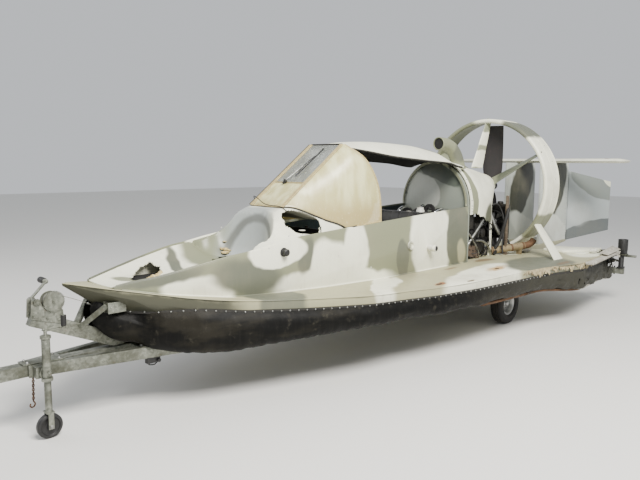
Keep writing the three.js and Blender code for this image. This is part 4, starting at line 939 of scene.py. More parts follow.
def pane_point(u, v):
    """Point on the port side pane: u from the front corner post to the rear edge, v up from the sill."""
    lift = [[1 - share, *spot] for share, *spot in PANE_REAR]
    x, y, z = (flowing(lift, 1 - v, k) for k in (1, 2, 3))
    start = [BASE[k] + (HEAD[k] - BASE[k]) * v for k in range(3)]
    start[1] += 0.3
    middle = [start[0] * 0.45 + x * 0.55, 190 + (y - 190) * 1.12, start[2] * 0.42 + z * 0.58 + 6]
    curve = [(1 - u) ** 2 * start[k] + 2 * u * (1 - u) * middle[k] + u * u * (x, y, z)[k] for k in range(3)]
    if v < 0.2:
        foot_x = BASE[0] + (1566 - BASE[0]) * u
        foot_y = along(SILL, foot_x, 1) + 2 if foot_x > 1905 else 405
        foot_z = sill_z(foot_x, foot_y) + 2 if foot_x > 1905 else along(SIDE, foot_x, 2) + 1
        if u < 0.001:
            foot_y, foot_z = start[1], BASE[2]
        w = ease(v / 0.2)
        straight = v / 0.2
        up = pane_point(u, 0.2)
        foot = [foot_x, foot_y, foot_z]
        return [foot[k] + (up[k] - foot[k]) * (straight * 0.7 + w * 0.3) for k in range(3)]
    return curve


def centre_pane(v0, v1):
    rows = [v0 + (v1 - v0) * i / 12 for i in range(13)]
    return [[(BASE[0] + (HEAD[0] - BASE[0]) * v, t * (BASE[1] + (HEAD[1] - BASE[1]) * v),
        BASE[2] + (HEAD[2] - BASE[2]) * v)
             for t in (j / 10 for j in range(-10, 11))] for v in rows]


PANE_OFFSET = (4.5, 0, 5)
Piece().shell(centre_pane(CLEAR_FROM, 1), lambda p: PANE_OFFSET).make("windshield_clear_pane", clear_pane,
    replaces="windshield")
Piece().shell(centre_pane(0, CLEAR_FROM - 0.004), lambda p: PANE_OFFSET).make("windshield_lower_pane",
    yellow_pane, replaces="windshield")
frame_strips, black_seams, pane_feet = Piece(), Piece(), Piece()
for side, s in SIDES:
    grid = [[(p[0], s * p[1], p[2]) for p in (pane_point(u / 36, v / 30) for u in range(37))]
        for v in range(31)]
    Piece().shell(grid, lambda p: (4, 0, 5)).make(f"side_window_{side}_pane", yellow_pane,
        replaces=f"side_window_{side}", angle=60)
    post = [(BASE[0] + (HEAD[0] - BASE[0]) * v + 7, s * (BASE[1] + (HEAD[1] - BASE[1]) * v),
        BASE[2] + (HEAD[2] - BASE[2]) * v + 8)
            for v in (i / 14 for i in range(15))]
    for a, b in zip(post, post[1:]):
        frame_strips.loft([[(p[0] - 2, p[1] - 17, p[2] - 2), (p[0] - 2, p[1] + 17, p[2] - 2),
            (p[0] + 3, p[1] + 15, p[2] + 3),
                            (p[0] + 3, p[1] - 15, p[2] + 3)] for p in (a, b)])
    if s < 0:
        black_seams.tube([(p[0] + 4, p[1] - 19, p[2] + 2) for p in post], 4, 8)
    rear = [(p[0] - 2, s * p[1], p[2] + 3) for p in (pane_point(1, v / 24) for v in range(25))]
    frame_strips.tube(rear, 8, 10)
    foot = [(p[0] + 4, s * (p[1] + 3), p[2] + 4) for p in (pane_point(u / 24, 0.0) for u in range(25))]
    black_seams.tube(foot[:17], 6.5, 8)
    pane_feet.tube(foot[16:], 8, 10)
    for v in range(2, 24, 3):
        frame_strips.screw((rear[v][0], rear[v][1] + s * 7, rear[v][2] + 2), (0, s, 0.4), 4)
frame_strips.tube([(2504, y, 1294) for y in (-188, -90, 0, 90, 188)], 6, 8)
step = [BASE[k] + (HEAD[k] - BASE[k]) * CLEAR_FROM for k in range(3)]
frame_strips.block(step[0] - 2, step[0] + 9, -172, 172, step[2] + 2, step[2] + 14)
black_seams.tube([(1826, y, 1796) for y in (-186, -90, 0, 90, 186)], 7, 8)
black_seams.tube([(2510, y, 1287) for y in (-190, -90, 0, 90, 190)], 5, 8)
frame_strips.make("windshield_frame_strips", tan_strip, angle=50)
black_seams.make("windshield_seams", seam_rubber, angle=60)
pane_feet.make("side_window_feet", tan_strip, angle=60)

# Roof panel, a dark sheet under it that is painted shade of its underside, and edge trims
ROOF = [
    [1823.7, 205, 1774, 1801], [1600, 265, 1745, 1824], [1300, 335, 1702, 1834], [900, 372, 1672, 1824],
    [500, 372, 1650, 1790], [190, 330, 1612, 1672.3], [167.7, 330, 1612, 1672.3],
]


def roof_grid(drop=0.0, shrink=0.0):
    return [[(x, v / 16 * (flowing(ROOF, x, 1) - shrink),
        flowing(ROOF, x, 2) + (flowing(ROOF, x, 3) - flowing(ROOF, x, 2)) * (1 - (v / 16) ** 2) - drop)
             for v in range(-16, 17)] for x in span(1823, 168, 28)]


Piece().shell(roof_grid(), lambda p: (0, 0, -8)).make("roof_panel", roof_paint, replaces="roof", angle=50)
# dark sheet just under the roof panel: painted shade
Piece().shell(roof_grid(11, 6), lambda p: (0, 0, -5)).make("roof_underside_painted_shade", black_lining_and_shade, angle=50)
roof_trim = Piece()
for s in (1, -1):
    roof_trim.tube([(x, s * flowing(ROOF, x, 1), flowing(ROOF, x, 2) - 5) for x in span(1815, 200, 40)], 8,
        8)
roof_trim.make("roof_edge_trim", seam_rubber, angle=60)

# Cowl behind the bulkhead: x, half width, spring z, top z, lower edge z
COWL = [
    [167.4, 430, 1215, 1682, 1125], [125, 430, 1215, 1682, 1125], [117, 406, 1215, 1658, 1125],
    [-120, 385, 1215, 1632, 1095], [-400, 330, 1225, 1588, 1010], [-455, 309, 1240, 1578, 1040],
    [-500, 290, 1265, 1569, 1215], [-600, 245, 1325, 1552, 1315], [-780, 150, 1365, 1522, 1355],
    [-900, 92, 1392, 1480, 1384],
]


def cowl_ring(x, count=44):
    half, spring, top, low = (along(COWL, x, k) if x > 100 else flowing(COWL, x, k) for k in (1, 2, 3, 4))
    ragged = (rumple((x, 0, 0), 55, 2) * 26 + rumple((x, 0, 0), 17, 4) * 10) if -430 < x < 100 else 0
    points = [(x, half, low + ragged + (spring - low - ragged) * k / 6) for k in range(6)]
    points += [(x, half * math.cos(math.pi * k / count),
        spring + (top - spring) * math.sin(math.pi * k / count))
               for k in range(count + 1)]
    return points + [(x, -half, spring + (low + ragged * 0.6 - spring) * k / 6) for k in range(1, 7)]


cowl_rows = [167.4, 146, 126, 122, 117.5, 112] + span(100, -898, 11)
cowl = Piece()
cowl.shell([cowl_ring(x) for x in cowl_rows], lambda p: (0, -p[1] / 400 * 7, -5 if p[2] > 1300 else -1))
for s in (1, -1):
    foot = [[(x, s * y, z) for x in (-452 + 6 * ease((900 - abs(z - 900)) / 900),
        -388 - 8 * ease((900 - abs(z - 900)) / 900))
             for y in ((324, 316) if x < -420 else (316, 324))] for z in span(642, 1080, 24)]
    cowl.loft(foot)
cowl.make("cowl_shell", cowl_paint, replaces="cowl", angle=40)
refit = Piece()
for k in range(13):
    t = math.pi * (k + 0.5) / 13
    refit.screw((146, 431 * math.cos(t), 1215 + 468 * math.sin(t)), (0, math.cos(t), math.sin(t)), 6)
for s in (1, -1):
    for z in range(700, 1040, 62):
        refit.screw((-422, s * 324.5, z), (0, s, 0), 6)
    for z in range(1130, 1215, 28):
        refit.screw((146, s * 431, z), (0, s, 0), 6)
    for x in range(-1260, -1860, -120):
        refit.screw((x, s * 980, DECK + 1), (0, 0, 1), 7)
for k in range(24):
    t = math.radians(15 * k + 7)
    refit.screw((RING_X - 60, (RING_RADIUS - 2) * math.cos(t), RING_Z + (RING_RADIUS - 2) * math.sin(t)),
        (0, math.cos(t), math.sin(t)), 6)
for s in (1, -1):
    for x in (-2460, -2500):
        for z in range(700, 1640, 72):
            refit.screw((x, s * 249.5, z), (0, s, 0), 4)
refit.make("screws_in_gelcoat", bare_steel, angle=50)
hoop = Piece()
for k in range(42):
    t0, t1 = (math.pi * j / 42 for j in (k, k + 1))
    hoop.loft([[(x, r * math.cos(t), 1215 + (r + 40 + (14 if r > 390 else 0)) * math.sin(t)) for x, r in
                ((199, 404), (212, 404), (212, 388), (199, 388))] for t in (t0, t1)])
hoop.make("bulkhead_rim", grey_paint, angle=50)

# Thrust ring: rounded front lip, a step inside where the moulding's halves meet, thin trailing edge
RING_PROFILE = [
    (722, -811), (724, -802), (729, -794), (736, -788), (747, -785), (757, -787), (764, -793),
    (768, -802), (769, -815), (769, -880), (768.6, -955), (766.5, -1040), (763, -1115), (754, -1115),
    (750, -1060), (746, -1000), (745, -952), (734, -949), (733, -910), (728, -870), (723, -830),
]
ring = Piece().turned(RING_PROFILE, "x", (0, 0, RING_Z), 120, closed=True)
ring.make("thrust_ring_shell", ring_paint, angle=28, replaces="thrust_ring")
band = Piece()
for x, r, w in ((-948, 767.9, 9), (-1102, 764, 8)):
    band.turned([(r - 2, x - w), (r + 2.4, x - w * 0.7), (r + 2.6, x + w * 0.7), (r - 2, x + w)], "x",
        (0, 0, RING_Z), 120, closed=True)
band.make("ring_seam_bands", ring_paint, angle=40)
STAYS = [
    [90, 120, -500, -690, -800, -900, 14], [30, 60, -755, -912, -795, -905, -48],
    [150, 60, -755, -912, -795, -905, 48],
]
stays = Piece()
for angle, inner, a, b, c, d, twist in STAYS:
    t = math.radians(angle)
    rings = []
    for k in range(15):
        v = k / 14
        r = inner + (RING_RADIUS - 34 - inner) * v
        front, rear = a + (c - a) * v, b + (d - b) * v
        start = 205 if angle == 90 else 100
        r = max(r, start)
        outline = [(0, 0), (0.03, 5), (0.12, 8), (0.5, 9), (0.85, 6), (1, 1.5), (1, -1.5), (0.85, -6),
            (0.5, -9), (0.12, -8), (0.03, -5)]
        ring_points = []
        for c1, t1 in outline:
            across = (c1 - 0.5) * (rear - front)
            turn = math.radians(twist) * (1 - v * 0.5)
            x = (front + rear) / 2 + across * math.cos(turn) - t1 * math.sin(turn)
            off = across * math.sin(turn) + t1 * math.cos(turn)
            ring_points.append((x, r * math.cos(t) - off * math.sin(t),
                RING_Z + r * math.sin(t) + off * math.cos(t)))
        rings.append(ring_points)
    stays.loft(rings)
    stays.bolt((c - 40, (RING_RADIUS + 1) * math.cos(t), RING_Z + (RING_RADIUS + 1) * math.sin(t)),
        (0, math.cos(t), math.sin(t)), 13)
stays.make("ring_stays", stay_paint, angle=40)

# Propeller: two broad square-tipped blades of laminated wood with a tip sheath
BLADE = [
    [0.03, 60, 34, 34], [0.1, 130, 32, 32], [0.16, 190, 30, 26], [0.3, 222, 26, 20], [0.6, 228, 19, 14],
    [0.985, 222, 14, 9], [1, 214, 14, 7],
]
prop = Piece()
for turn in (1, -1):
    rings = []
    for share in [0.03, 0.06, 0.1, 0.13, 0.16, 0.2, 0.25] + [0.3 + 0.0457 * k for k in range(15)] + [0.97,
            0.99, 1.0]:
        falling = [[-r[0], *r[1:]] for r in BLADE]
        chord, pitch, thick = (flowing(falling, -share, k) for k in (1, 2, 3))
        a = math.radians(pitch)
        section = [(-0.5, 0), (-0.46, 0.2), (-0.38, 0.36), (-0.2, 0.5), (0.05, 0.5), (0.25, 0.4),
            (0.42, 0.17), (0.5, 0),
                   (0.42, -0.15), (0.25, -0.3), (0, -0.36), (-0.2, -0.35), (-0.4, -0.22)]
        rings.append([(-985 - c * chord * math.sin(a) + t * thick * math.cos(a),
            (c * chord * math.cos(a) + t * thick * math.sin(a)) * turn,
                       RING_Z + turn * share * 700) for c, t in section])
    prop.loft(rings)
prop.turned([(0, -925.3), (46, -925.3), (46, -1028), (40, -1044), (26, -1064), (10, -1075), (0, -1075)],
    "x", (0, 0, RING_Z), 32)
for k in range(6):
    t = math.radians(60 * k)
    prop.bolt((-1034, 32 * math.cos(t), RING_Z + 32 * math.sin(t)), (-1, 0, 0), 13)
prop.make("propeller_blades", prop_finish, "propeller", replaces="propeller", angle=50)


# Skirt: a bag of coated nylon on each side, hung from the deck's edge and gathered under the hull
SKIRT = [
    [3840, 45, 490, 50, 640], [3800, 50, 470, 75, 630], [3650, 55, 418, 240, 612],
    [3460, 60, 386, 285, 585], [3150, 60, 380, 350, 545], [2800, 60, 398, 430, 520],
    [2500, 58, 412, 510, 502], [2200, 52, 428, 580, 498], [1800, 45, 425, 640, 502],
    [1500, 40, 419, 700, 508], [1000, 30, 425, 800, 520], [500, 25, 425, 945, 540],
    [0, 22, 430, 985, 544], [-700, 22, 375, 1040, 540], [-1300, 22, 372, 1000, 540],
    [-1880, 22, 318, 950, 540],
]
BOW = [
    [3990, 60, 725, 610], [3950, 95, 760, 560], [3900, 130, 740, 515], [3840, 165, 700, 480],
    [3650, 240, 660, 440],
]
GIRTH_STEPS = 34
BUTTON_PITCH = 62


def underside(x, y):
    chine, bottom, line_y, line_z = (along(HULL, x, k) for k in (6, 7, 4, 5))
    return bottom + (line_z - bottom) * (y - chine) / (line_y - chine)


def resampled(points, count):
    path, _ = smoothed([Vector(p) for p in points], [0] * len(points), 8)
    lengths = [0.0]
    for a, b in zip(path, path[1:]):
        lengths.append(lengths[-1] + (b - a).length)
    out, k = [], 0
    for i in range(count + 1):
        want = lengths[-1] * i / count
        while k < len(lengths) - 2 and lengths[k + 1] < want:
            k += 1
        t = (want - lengths[k]) / max(1e-6, lengths[k + 1] - lengths[k])
        out.append(path[k].lerp(path[k + 1], t))
    return out


def bag_section(x):
    """Cross-section of the bag in (y, z), from the deck's edge round to the hull's underside."""
    side = None
    if x <= 3840:
        bulge, low, inner = (flowing(SKIRT, x, k) for k in (1, 2, 3))
        line_y, line_z = along(HULL, x, 4), along(HULL, x, 5) - 1
        drop = line_z - low
        side = resampled([(line_y + 1, line_z + 8, 0), (line_y + bulge * 0.7, line_z - drop * 0.2, 0),
            (line_y + bulge, line_z - drop * 0.55, 0),
                          (line_y + bulge * 0.75, line_z - drop * 0.82, 0), (line_y + bulge * 0.1,
                          low + drop * 0.02, 0),
                          (line_y - min(90, (line_y - inner) * 0.4), low, 0),
                          (inner + (line_y - inner) * 0.25, low + drop * 0.12, 0),
                          (inner, low + drop * 0.45, 0), (inner, underside(x, inner) - 2, 0)], GIRTH_STEPS)
    if x > 3660:
        half, top, low = (flowing(BOW, x, k) for k in (1, 2, 3))
        tall = top - low
        nose = resampled([(half * 0.62, top + 4, 0), (half * 0.9, top - tall * 0.2, 0),
            (half, top - tall * 0.45, 0), (half * 0.97, top - tall * 0.7, 0),
                          (half * 0.8, low + tall * 0.04, 0), (half * 0.55 + 20, low, 0), (50, low + 6, 0),
                          (47, low + tall * 0.3, 0)], GIRTH_STEPS)
        if side is None:
            return nose
        w = ease((x - 3680) / 140)
        return [a.lerp(b, w) for a, b in zip(side, nose)]
    return side


def bag_folds(x, u, s):
    """Millimetres that the cloth stands off its plain section: pleats at the bow, folds, creases at the stern."""
    hang = math.sin(math.pi * min(1, u * 1.25)) if u < 0.8 else 0.0
    front, rear = ease((x - 1400) / 1200), ease((600 - x) / 1100)
    middle = max(0.0, 1 - front - rear)
    pleats = rumple((x, s * 40, u * 60), 46, 1) * 5 + rumple((x, u * 90, s), 21, 2) * 2.2
    slack = rumple((x * 0.22, u * 240, s * 9), 62, 3) * 20 + rumple((x * 0.5, u * 420, s * 3), 44, 4) * 7
    crease = rumple((x * 0.45 + u * 160, u * 430, s * 5), 70,
        6) * 27 + abs(rumple((x * 0.8 - u * 300, u * 300, s), 55, 7)) * -26
    return hang * (pleats * (0.4 + front) + slack * (middle + front * 0.45) + crease * rear)


def build_skirt(side, s):
    grid = []
    for x in span(3990, -1888, 17):
        section = bag_section(x)
        row = []
        for i, p in enumerate(section):
            a, b = section[max(0, i - 1)], section[min(GIRTH_STEPS, i + 1)]
            way = (b - a).normalized()
            out = Vector((way.y, -way.x, 0))
            if out.x < 0 and i < 8:
                out = -out
            amount = bag_folds(x, i / GIRTH_STEPS, s)
            if out.y < -0.5 and -420 < x < 160:
                amount = min(amount, 2)
            q = p + out * amount
            row.append((x + rumple((x, i * 30, s), 90, 8) * 3, s * max(q.x, 45), q.y))
        grid.append(row)
    nose = [(p[0] + 9, s * 44 + (p[1] - s * 44) * 0.55, 670 + (p[2] - 670) * 0.6) for p in grid[0]]
    grid.insert(0, nose)

    def keep(i, j):
        x, u = grid[i][0][0], j / GIRTH_STEPS
        ragged = rumple((x, u * 200, s), 40, 11) + rumple((x, u * 200, s), 15, 12) * 0.5
        if x < -1480 and 0.1 < u < 0.42 and s > 0:
            return ragged < 0.12 + (x + 1880) / 900
        if -820 < x < -560 and 0.16 < u < 0.27:
            return ragged < 0.2
        return True
    skin = Piece().shell(grid, lambda p: (0, -s * 1.2, 1.2), keep).make(f"skirt_{side}", skirt_finish,
        replaces="skirt", angle=75)
    buttons, hem = Piece(), Piece()
    for x in span(3780, -60 if s > 0 else -1860, BUTTON_PITCH):
        y, z = along(HULL, x, 4), along(HULL, x, 5)
        buttons.screw((x, s * (y + 9), z + 2), (0, s, 0.15), 6.5)
    line = [(x, s * (along(HULL, x, 4) + 5), along(HULL, x, 5) + 3) for x in span(3880, -1885, 50)]
    for a, b in zip(line, line[1:]):
        hem.loft([[(p[0], p[1] - s * 4, p[2] - 14), (p[0], p[1] + s * 2.5, p[2] - 14),
            (p[0], p[1] + s * 2.5, p[2] + 11), (p[0], p[1] - s * 4, p[2] + 11)]
                  for p in (a, b)])
    buttons.make(f"skirt_buttons_{side}", bare_steel, angle=50)
    hem.make(f"skirt_batten_{side}", seam_rubber, angle=50)
    return skin


skirts = {side: build_skirt(side, s) for side, s in SIDES}

# Torn strips of skirt and rope ends hanging at the port stern corner
rags = Piece()
for k in range(13):
    x = -1500 - k * 27 + random.uniform(-8, 8)
    y = along(HULL, x, 1) + random.uniform(-6, 22)
    long, lean = random.uniform(70, 190), random.uniform(-50, 50)
    wide = random.uniform(12, 34)
    grid = []
    for i in range(12):
        t = i / 11
        sway = rumple((k * 50, t * 300, 0), 90, 5) * 22
        grid.append([(x + lean * t + (j / 4 - 0.5) * wide * (1 - t * 0.6),
            y + 8 + sway + math.sin(t * 3) * 12 + j * 1.5,
                      600 - long * t + rumple((j * 9, k * 20, t * 60), 30) * 6) for j in range(5)])
    rags.shell(grid, lambda p: (0, -1.4, 0))
rags.make("skirt_rags_port", skirt_finish, angle=75)

# Boards under the bag's slack: the orange brown strip and the grey white one behind it
def board_in_slack(name, finish, places, inwards, drop, y0, y1, z0, z1):
    board = Piece()
    line = [(x, along(HULL, x, 4) - inwards, flowing(SKIRT, x, 2) - drop) for x in places]
    for ends in zip(line, line[1:]):
        board.loft([[(x, y + y0, z + z0), (x, y + y1, z + z0), (x, y + y1, z + z1), (x, y + y0, z + z1)]
                    for x, y, z in ends])
    board.make(name, finish, bevel=2)


board_in_slack("batten_board_port", board_wood, span(900, -700, 60), 30, 16, -42, 8, -13, 9)
board_in_slack("lower_board_port", grey_board, span(-650, -1870, 60), 8, 2, -34, 10, -14, 10)

# Crumbling edge of the deck laminate at the stern, and torn foam under it
crumbs = Piece()
for k in range(120):
    x = random.uniform(-1880, 350)
    s = 1 if k % 4 else -1
    y = along(HULL, x, 1) + random.uniform(-2, 9)
    z = DECK - random.uniform(4, 66)
    size = random.uniform(4, 13)
    crumbs.loft([[(x + math.cos(u) * size * w * 1.6, s * (y + h * size * 0.3), z + math.sin(u) * size * w)
                  for u in (i * math.pi / 3 + k for i in range(6))] for h, w in ((-1, 0.9), (0.4, 0.8),
                  (1, 0.3))])
crumbs.make("crumbled_deck_edge", tan_muffler, angle=80)


# Seats: foam pads in vinyl, blown up by a short cloth simulation

VOXEL, CLOTH_PRESSURE, CLOTH_FRAMES, PAD_EDGE = 0.0075, 4, 20, 0.012


def seat_pad(name, node, corners, cap, channels):
    """Pad from its eight corners, low ring then high ring: blown up by at most cap millimetres, then sewn."""
    work = bmesh.new()
    verts = [work.verts.new(place(*p)) for p in corners]
    for quad in ((3, 2, 1, 0), (4, 5, 6, 7), (0, 1, 5, 4), (1, 2, 6, 5), (2, 3, 7, 6), (3, 0, 4, 7)):
        work.faces.new([verts[i] for i in quad])
    bmesh.ops.bevel(work, geom=work.edges[:], offset=PAD_EDGE, segments=3, affect="EDGES", profile=0.5)
    bmesh.ops.recalc_face_normals(work, faces=work.faces)
    mesh = bpy.data.meshes.new(name)
    work.to_mesh(mesh)
    work.free()
    pad = bpy.data.objects.new(name, mesh)
    bpy.context.scene.collection.objects.link(pad)
    modifier = pad.modifiers.new("remesh", "REMESH")
    modifier.mode = "VOXEL"
    modifier.voxel_size = VOXEL
    apply_modifiers(pad)
    rest = [v.co.copy() for v in pad.data.vertices]
    cloth = pad.modifiers.new("cloth", "CLOTH")
    cloth.settings.use_pressure = True
    cloth.settings.uniform_pressure_force = CLOTH_PRESSURE
    cloth.settings.effector_weights.gravity = 0
    scene = bpy.context.scene
    for step_number in range(1, CLOTH_FRAMES + 1):
        scene.frame_set(step_number)
    apply_modifiers(pad)
    scene.frame_set(1)
    middle = sum(rest, Vector()) / len(rest)
    for v, home in zip(pad.data.vertices, rest):
        move = v.co - home
        if move.length > cap / 1000:
            v.co = home + move.normalized() * cap / 1000
        for axis, level, wide, deep in channels:
            off = abs((v.co[axis] - level) * 1000) / wide
            away = (v.co - middle)
            v.co -= away.normalized() * deep / 1000 * math.exp(-off * off)
    modifier = pad.modifiers.new("smooth", "SUBSURF")
    modifier.levels = 1
    apply_modifiers(pad)
    pad.data.materials.clear()
    pad.data.materials.append(vinyl)
    for polygon in pad.data.polygons:
        polygon.use_smooth = True
    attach(pad, MAIN)
    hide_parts(node)


def cross_channels(levels):
    return [(1, y / 1000, 5, 9) for y in levels]


seat_pad("seat_cushion_pad", "seat_cushion", [
    (775, -314, 748), (1277, -314, 748), (1277, 314, 748), (775, 314, 748),
    (775, -314, 812), (1277, -314, 812), (1277, 314, 812), (775, 314, 812)], 12,
    cross_channels((-210, -105, 0, 105, 210)))
seat_pad("seat_back_pad", "seat_back", [
    (773, -314, 830), (850, -314, 830), (850, 314, 830), (773, 314, 830),
    (700, -314, 1180), (762, -314, 1180), (762, 314, 1180), (700, 314, 1180)], 12,
    cross_channels((-210, -105, 0, 105, 210)))

# Wiper on the clear pane, and the loose cable that runs to it
OFF_PANE = Vector((0.595, 0, 0.804))


def on_pane(share, y, off):
    p = Vector(BASE) + (Vector(HEAD) - Vector(BASE)) * share
    return Vector((p.x, y, p.z)) + OFF_PANE * (off + 8)


wiper = Piece()
wiper.rod(on_pane(0.36, -36, -6), on_pane(0.36, -36, 26), 13, 20)
wiper.tube([on_pane(0.33, -50, 12), on_pane(0.345, -42, 14), on_pane(0.36, -36, 18)], 9, 12)
wiper.bolt(on_pane(0.36, -36, 26), OFF_PANE, 13)
blade_line = [on_pane(0.46 + 0.46 * t / 10, 10 + 20 * t / 10 + 9 * math.sin(math.pi * t / 10),
    9 + 3 * math.sin(math.pi * t / 10)) for t in range(11)]
wiper.tube(blade_line, 5, 8)
wiper.tube([p - OFF_PANE * 5 for p in blade_line], 2.2, 6)
wiper.tube([on_pane(0.52, 10, 16), on_pane(0.6, 22, 26), on_pane(0.78, 28, 16)], 4, 8, 5)
wiper.make("wiper_blade", black_plastic, bevel=0.5, angle=50)
wiper_arm = Piece()
wiper_arm.tube([on_pane(0.36, -36, 22), on_pane(0.42, -18, 24), on_pane(0.55, 8, 27),
    on_pane(0.66, 25, 24)], [6, 5, 4, 4], 10, 6)
wiper_arm.make("wiper_arm", bare_steel, angle=50)

CABLE = [
    (2436, -204, 1317), (2443, -213, 1335), (2456, -213, 1353), (2470, -196, 1364), (2483, -166, 1364),
    (2495, -125, 1354), (2507, -82, 1341), (2518, -40, 1327), (2524, 0, 1314), (2527, 40, 1308),
    (2528, 80, 1305), (2528, 120, 1304), (2527, 158, 1303), (2523, 190, 1299), (2515, 214, 1289),
    (2506, 230, 1276), (2499, 238, 1262),
]
cable_path, _ = smoothed([Vector(p) for p in CABLE], [0] * len(CABLE), 4)
cable = Piece().tube(cable_path, 3.5, 10).make("wiper_cable", rope_finish, angle=60)

# Sockets, knob and plugs on the cabin sides
fittings, black_bits = Piece(), Piece()
for s in (1, -1):
    fittings.turned([(27, -4), (41, -2), (43, 4), (41, 13), (34, 17), (29, 15), (28, 4)], "y",
        (1149, s * 418, 896), 36, closed=True)
    fittings.tube([(870, s * 412, 853), (870, s * 470, 853), (866, s * 505, 852)], 31, 24)
    black_bits.turned([(0, -3), (27, -3), (27, 2), (0, 2)], "y", (1149, s * 419, 896), 24)
    black_bits.rod((866, s * 500, 852), (866, s * 507, 852), 24, 24)
    black_bits.turned([(0, 0), (34, 0), (34, 6), (24, 8), (20, 26), (26, 30), (27, 40), (20, 46), (0, 47)]
        if s > 0 else
                      [(0, 0), (34, 0), (34, -6), (24, -8), (20, -26), (26, -30), (27, -40), (20, -46),
                      (0, -47)], "y", (2691, s * 419, 985), 24)
    for x, z in ((2640, 1100), (2830, 1028), (2100, 900), (1700, 760)):
        fittings.screw((x, s * 419, z), (0, s, 0), 6)
fittings.make("side_sockets", white_paint, angle=45)
black_bits.make("side_knobs", black_plastic, bevel=0.8)


# Linings, cockpit rear shelf and what stands on it
lining_teal = plain("board painted dark teal", ("2c3a3c", "364648", "20292a"), 0.6, 0.1, 60, 4, 0.3)
linings = Piece()
for s in (1, -1):
    for x0, x1 in zip(span(2150, 210, 120), span(2150, 210, 120)[1:]):
        z0, z1 = flowing(SIDE, x0, 2) - 14, flowing(SIDE, x1, 2) - 14
        linings.loft([[(x, s * 392.4, 560), (x, s * 389, 560), (x, s * 389, z), (x, s * 392.4, z)]
            for x, z in ((x0, z0), (x1, z1))])
linings.make("cockpit_linings", lining_teal, angle=50)
shelf = Piece()
shelf.block(212, 560, -380, 380, 905, 920)
shelf.block(548, 562, -380, 380, 640, 905)
shelf.block(230, 480, -60, 330, 920, 1075)
shelf.block(250, 430, 90, 260, 1075, 1150)
shelf.turned([(0, 0), (74, 0), (80, 6), (80, 60), (72, 70), (0, 70)], "z", (360, -210, 1010), 32)
shelf.rod((300, -210, 920), (300, -210, 1010), 46, 24)
for k in range(9):
    y = -40 + k * 42
    shelf.block(228, 482, y - 3, y + 3, 1075, 1092)
shelf.make("engine_top_castings", black_iron, bevel=4)
jars = Piece()
jars.turned([(0, 0), (38, 0), (42, 6), (42, 118), (34, 130), (34, 146), (0, 148)], "z", (520, 60, 1050), 28)
jars.turned([(0, 0), (26, 0), (29, 5), (29, 88), (0, 92)], "z", (470, -120, 1060), 24)
jars.make("white_canisters", white_paint, bevel=1)
pipes = Piece()
for y, r, x in ((180, 24, 450), (250, 18, 470), (-280, 22, 430)):
    pipes.tube([(x, y, 1010), (x + 10, y, 1120), (x - 40, y + 8, 1165), (x - 140, y + 10, 1168),
        (x - 220, y, 1120)], r, 14, 8)
pipes.tube([(520, 60, 1198), (470, 60, 1215), (400, 20, 1190), (360, -60, 1160), (330, -140, 1120)], 14, 12,
    8)
pipes.make("chromed_pipes", chrome, angle=60)
props_under = Piece()
for x, y, low, high in ((520, 60, 920, 1052), (470, -120, 920, 1062), (450, 180, 920, 1012),
        (470, 250, 920, 1012), (430, -280, 920, 1012)):
    props_under.block(x - 22, x + 22, y - 22, y + 22, low, high)
props_under.make("canister_brackets", black_iron, bevel=2)
hoses = Piece()
for a, r in ((((470, -60, 1075), (430, -80, 1150), (350, -40, 1175), (280, 60, 1160), (240, 120, 1080)),
        13),
             (((500, -250, 960), (520, -300, 1060), (460, -330, 1130), (360, -320, 1130),
             (280, -300, 1040)), 16),
             (((240, 300, 960), (300, 340, 1080), (380, 350, 1130), (460, 340, 1080), (500, 300, 960)),
             15)):
    hoses.tube(a, r, 12, 8)
for y, z in ((-150, 1120), (130, 1170)):
    hoses.turned([(30, -10), (62, -14), (64, 14), (30, 10)], "x", (455, y, z), 28, closed=True)
hoses.make("cockpit_hoses", hose_rubber, angle=60)

# Engine bay, open at the cowl's torn edge: shroud, belts, tubes, hoses and loose wires
shroud = Piece()
wall = []
for x in span(150, -470, 20):
    wall.append([(x, 232 + rumple((x, k * 30, 0), 80, 3) * 22, 660 + k * 24) for k in range(23)])
shroud.shell(wall, lambda p: (0, -3, 0), lambda i, j: rumple(wall[i][j], 70, 8) + rumple(wall[i][j], 24,
    9) * 0.4 > -0.28)
wall2 = [[(x, -238 + rumple((x, k * 30, 5), 80, 3) * 20, 650 + k * 25) for k in range(23)]
    for x in span(150, -470, 20)]
shroud.shell(wall2, lambda p: (0, 3, 0), lambda i, j: rumple(wall2[i][j], 70, 18) > -0.5)
shroud.make("bay_shroud", black_lining_and_shade, angle=60)
blocks = Piece()
for x0, x1, y0, y1, z0, z1 in ((60, 140, 250, 330, 760, 900), (-60, 40, 250, 345, 700, 760),
        (-200, -110, 250, 318, 860, 1010),
                               (-330, -250, 250, 300, 700, 830), (-60, 40, 250, 330, 960, 1110),
                               (-440, -360, 110, 250, 660, 820)):
    blocks.block(x0, x1, y0, y1, z0, z1)
for x, z, r in ((-30, 860, 84), (-170, 760, 62), (-260, 900, 48), (80, 980, 58)):
    blocks.turned([(0, 0), (r, 0), (r, 8), (r - 14, 12), (r - 14, 26), (r, 30), (r, 38), (0, 38)], "y",
        (x, 292, z), 36)
    blocks.rod((x, 200, z), (x, 292, z), 16, 16)
blocks.make("engine_castings", black_iron, bevel=3)
belt = Piece()
belt.tube([(-30 + 76, 311, 860 + 30), (80 + 50, 311, 990), (80 + 20, 311, 1030), (80 - 40, 311, 1020),
    (-30 - 60, 311, 900),
           (-170 - 58, 311, 780), (-170 - 20, 311, 704), (-170 + 40, 311, 710), (-30 + 40, 311, 786),
           (-30 + 76, 311, 860)], 7, 8, 6)
belt.make("drive_belt", hose_rubber, angle=60)
tubes = Piece()
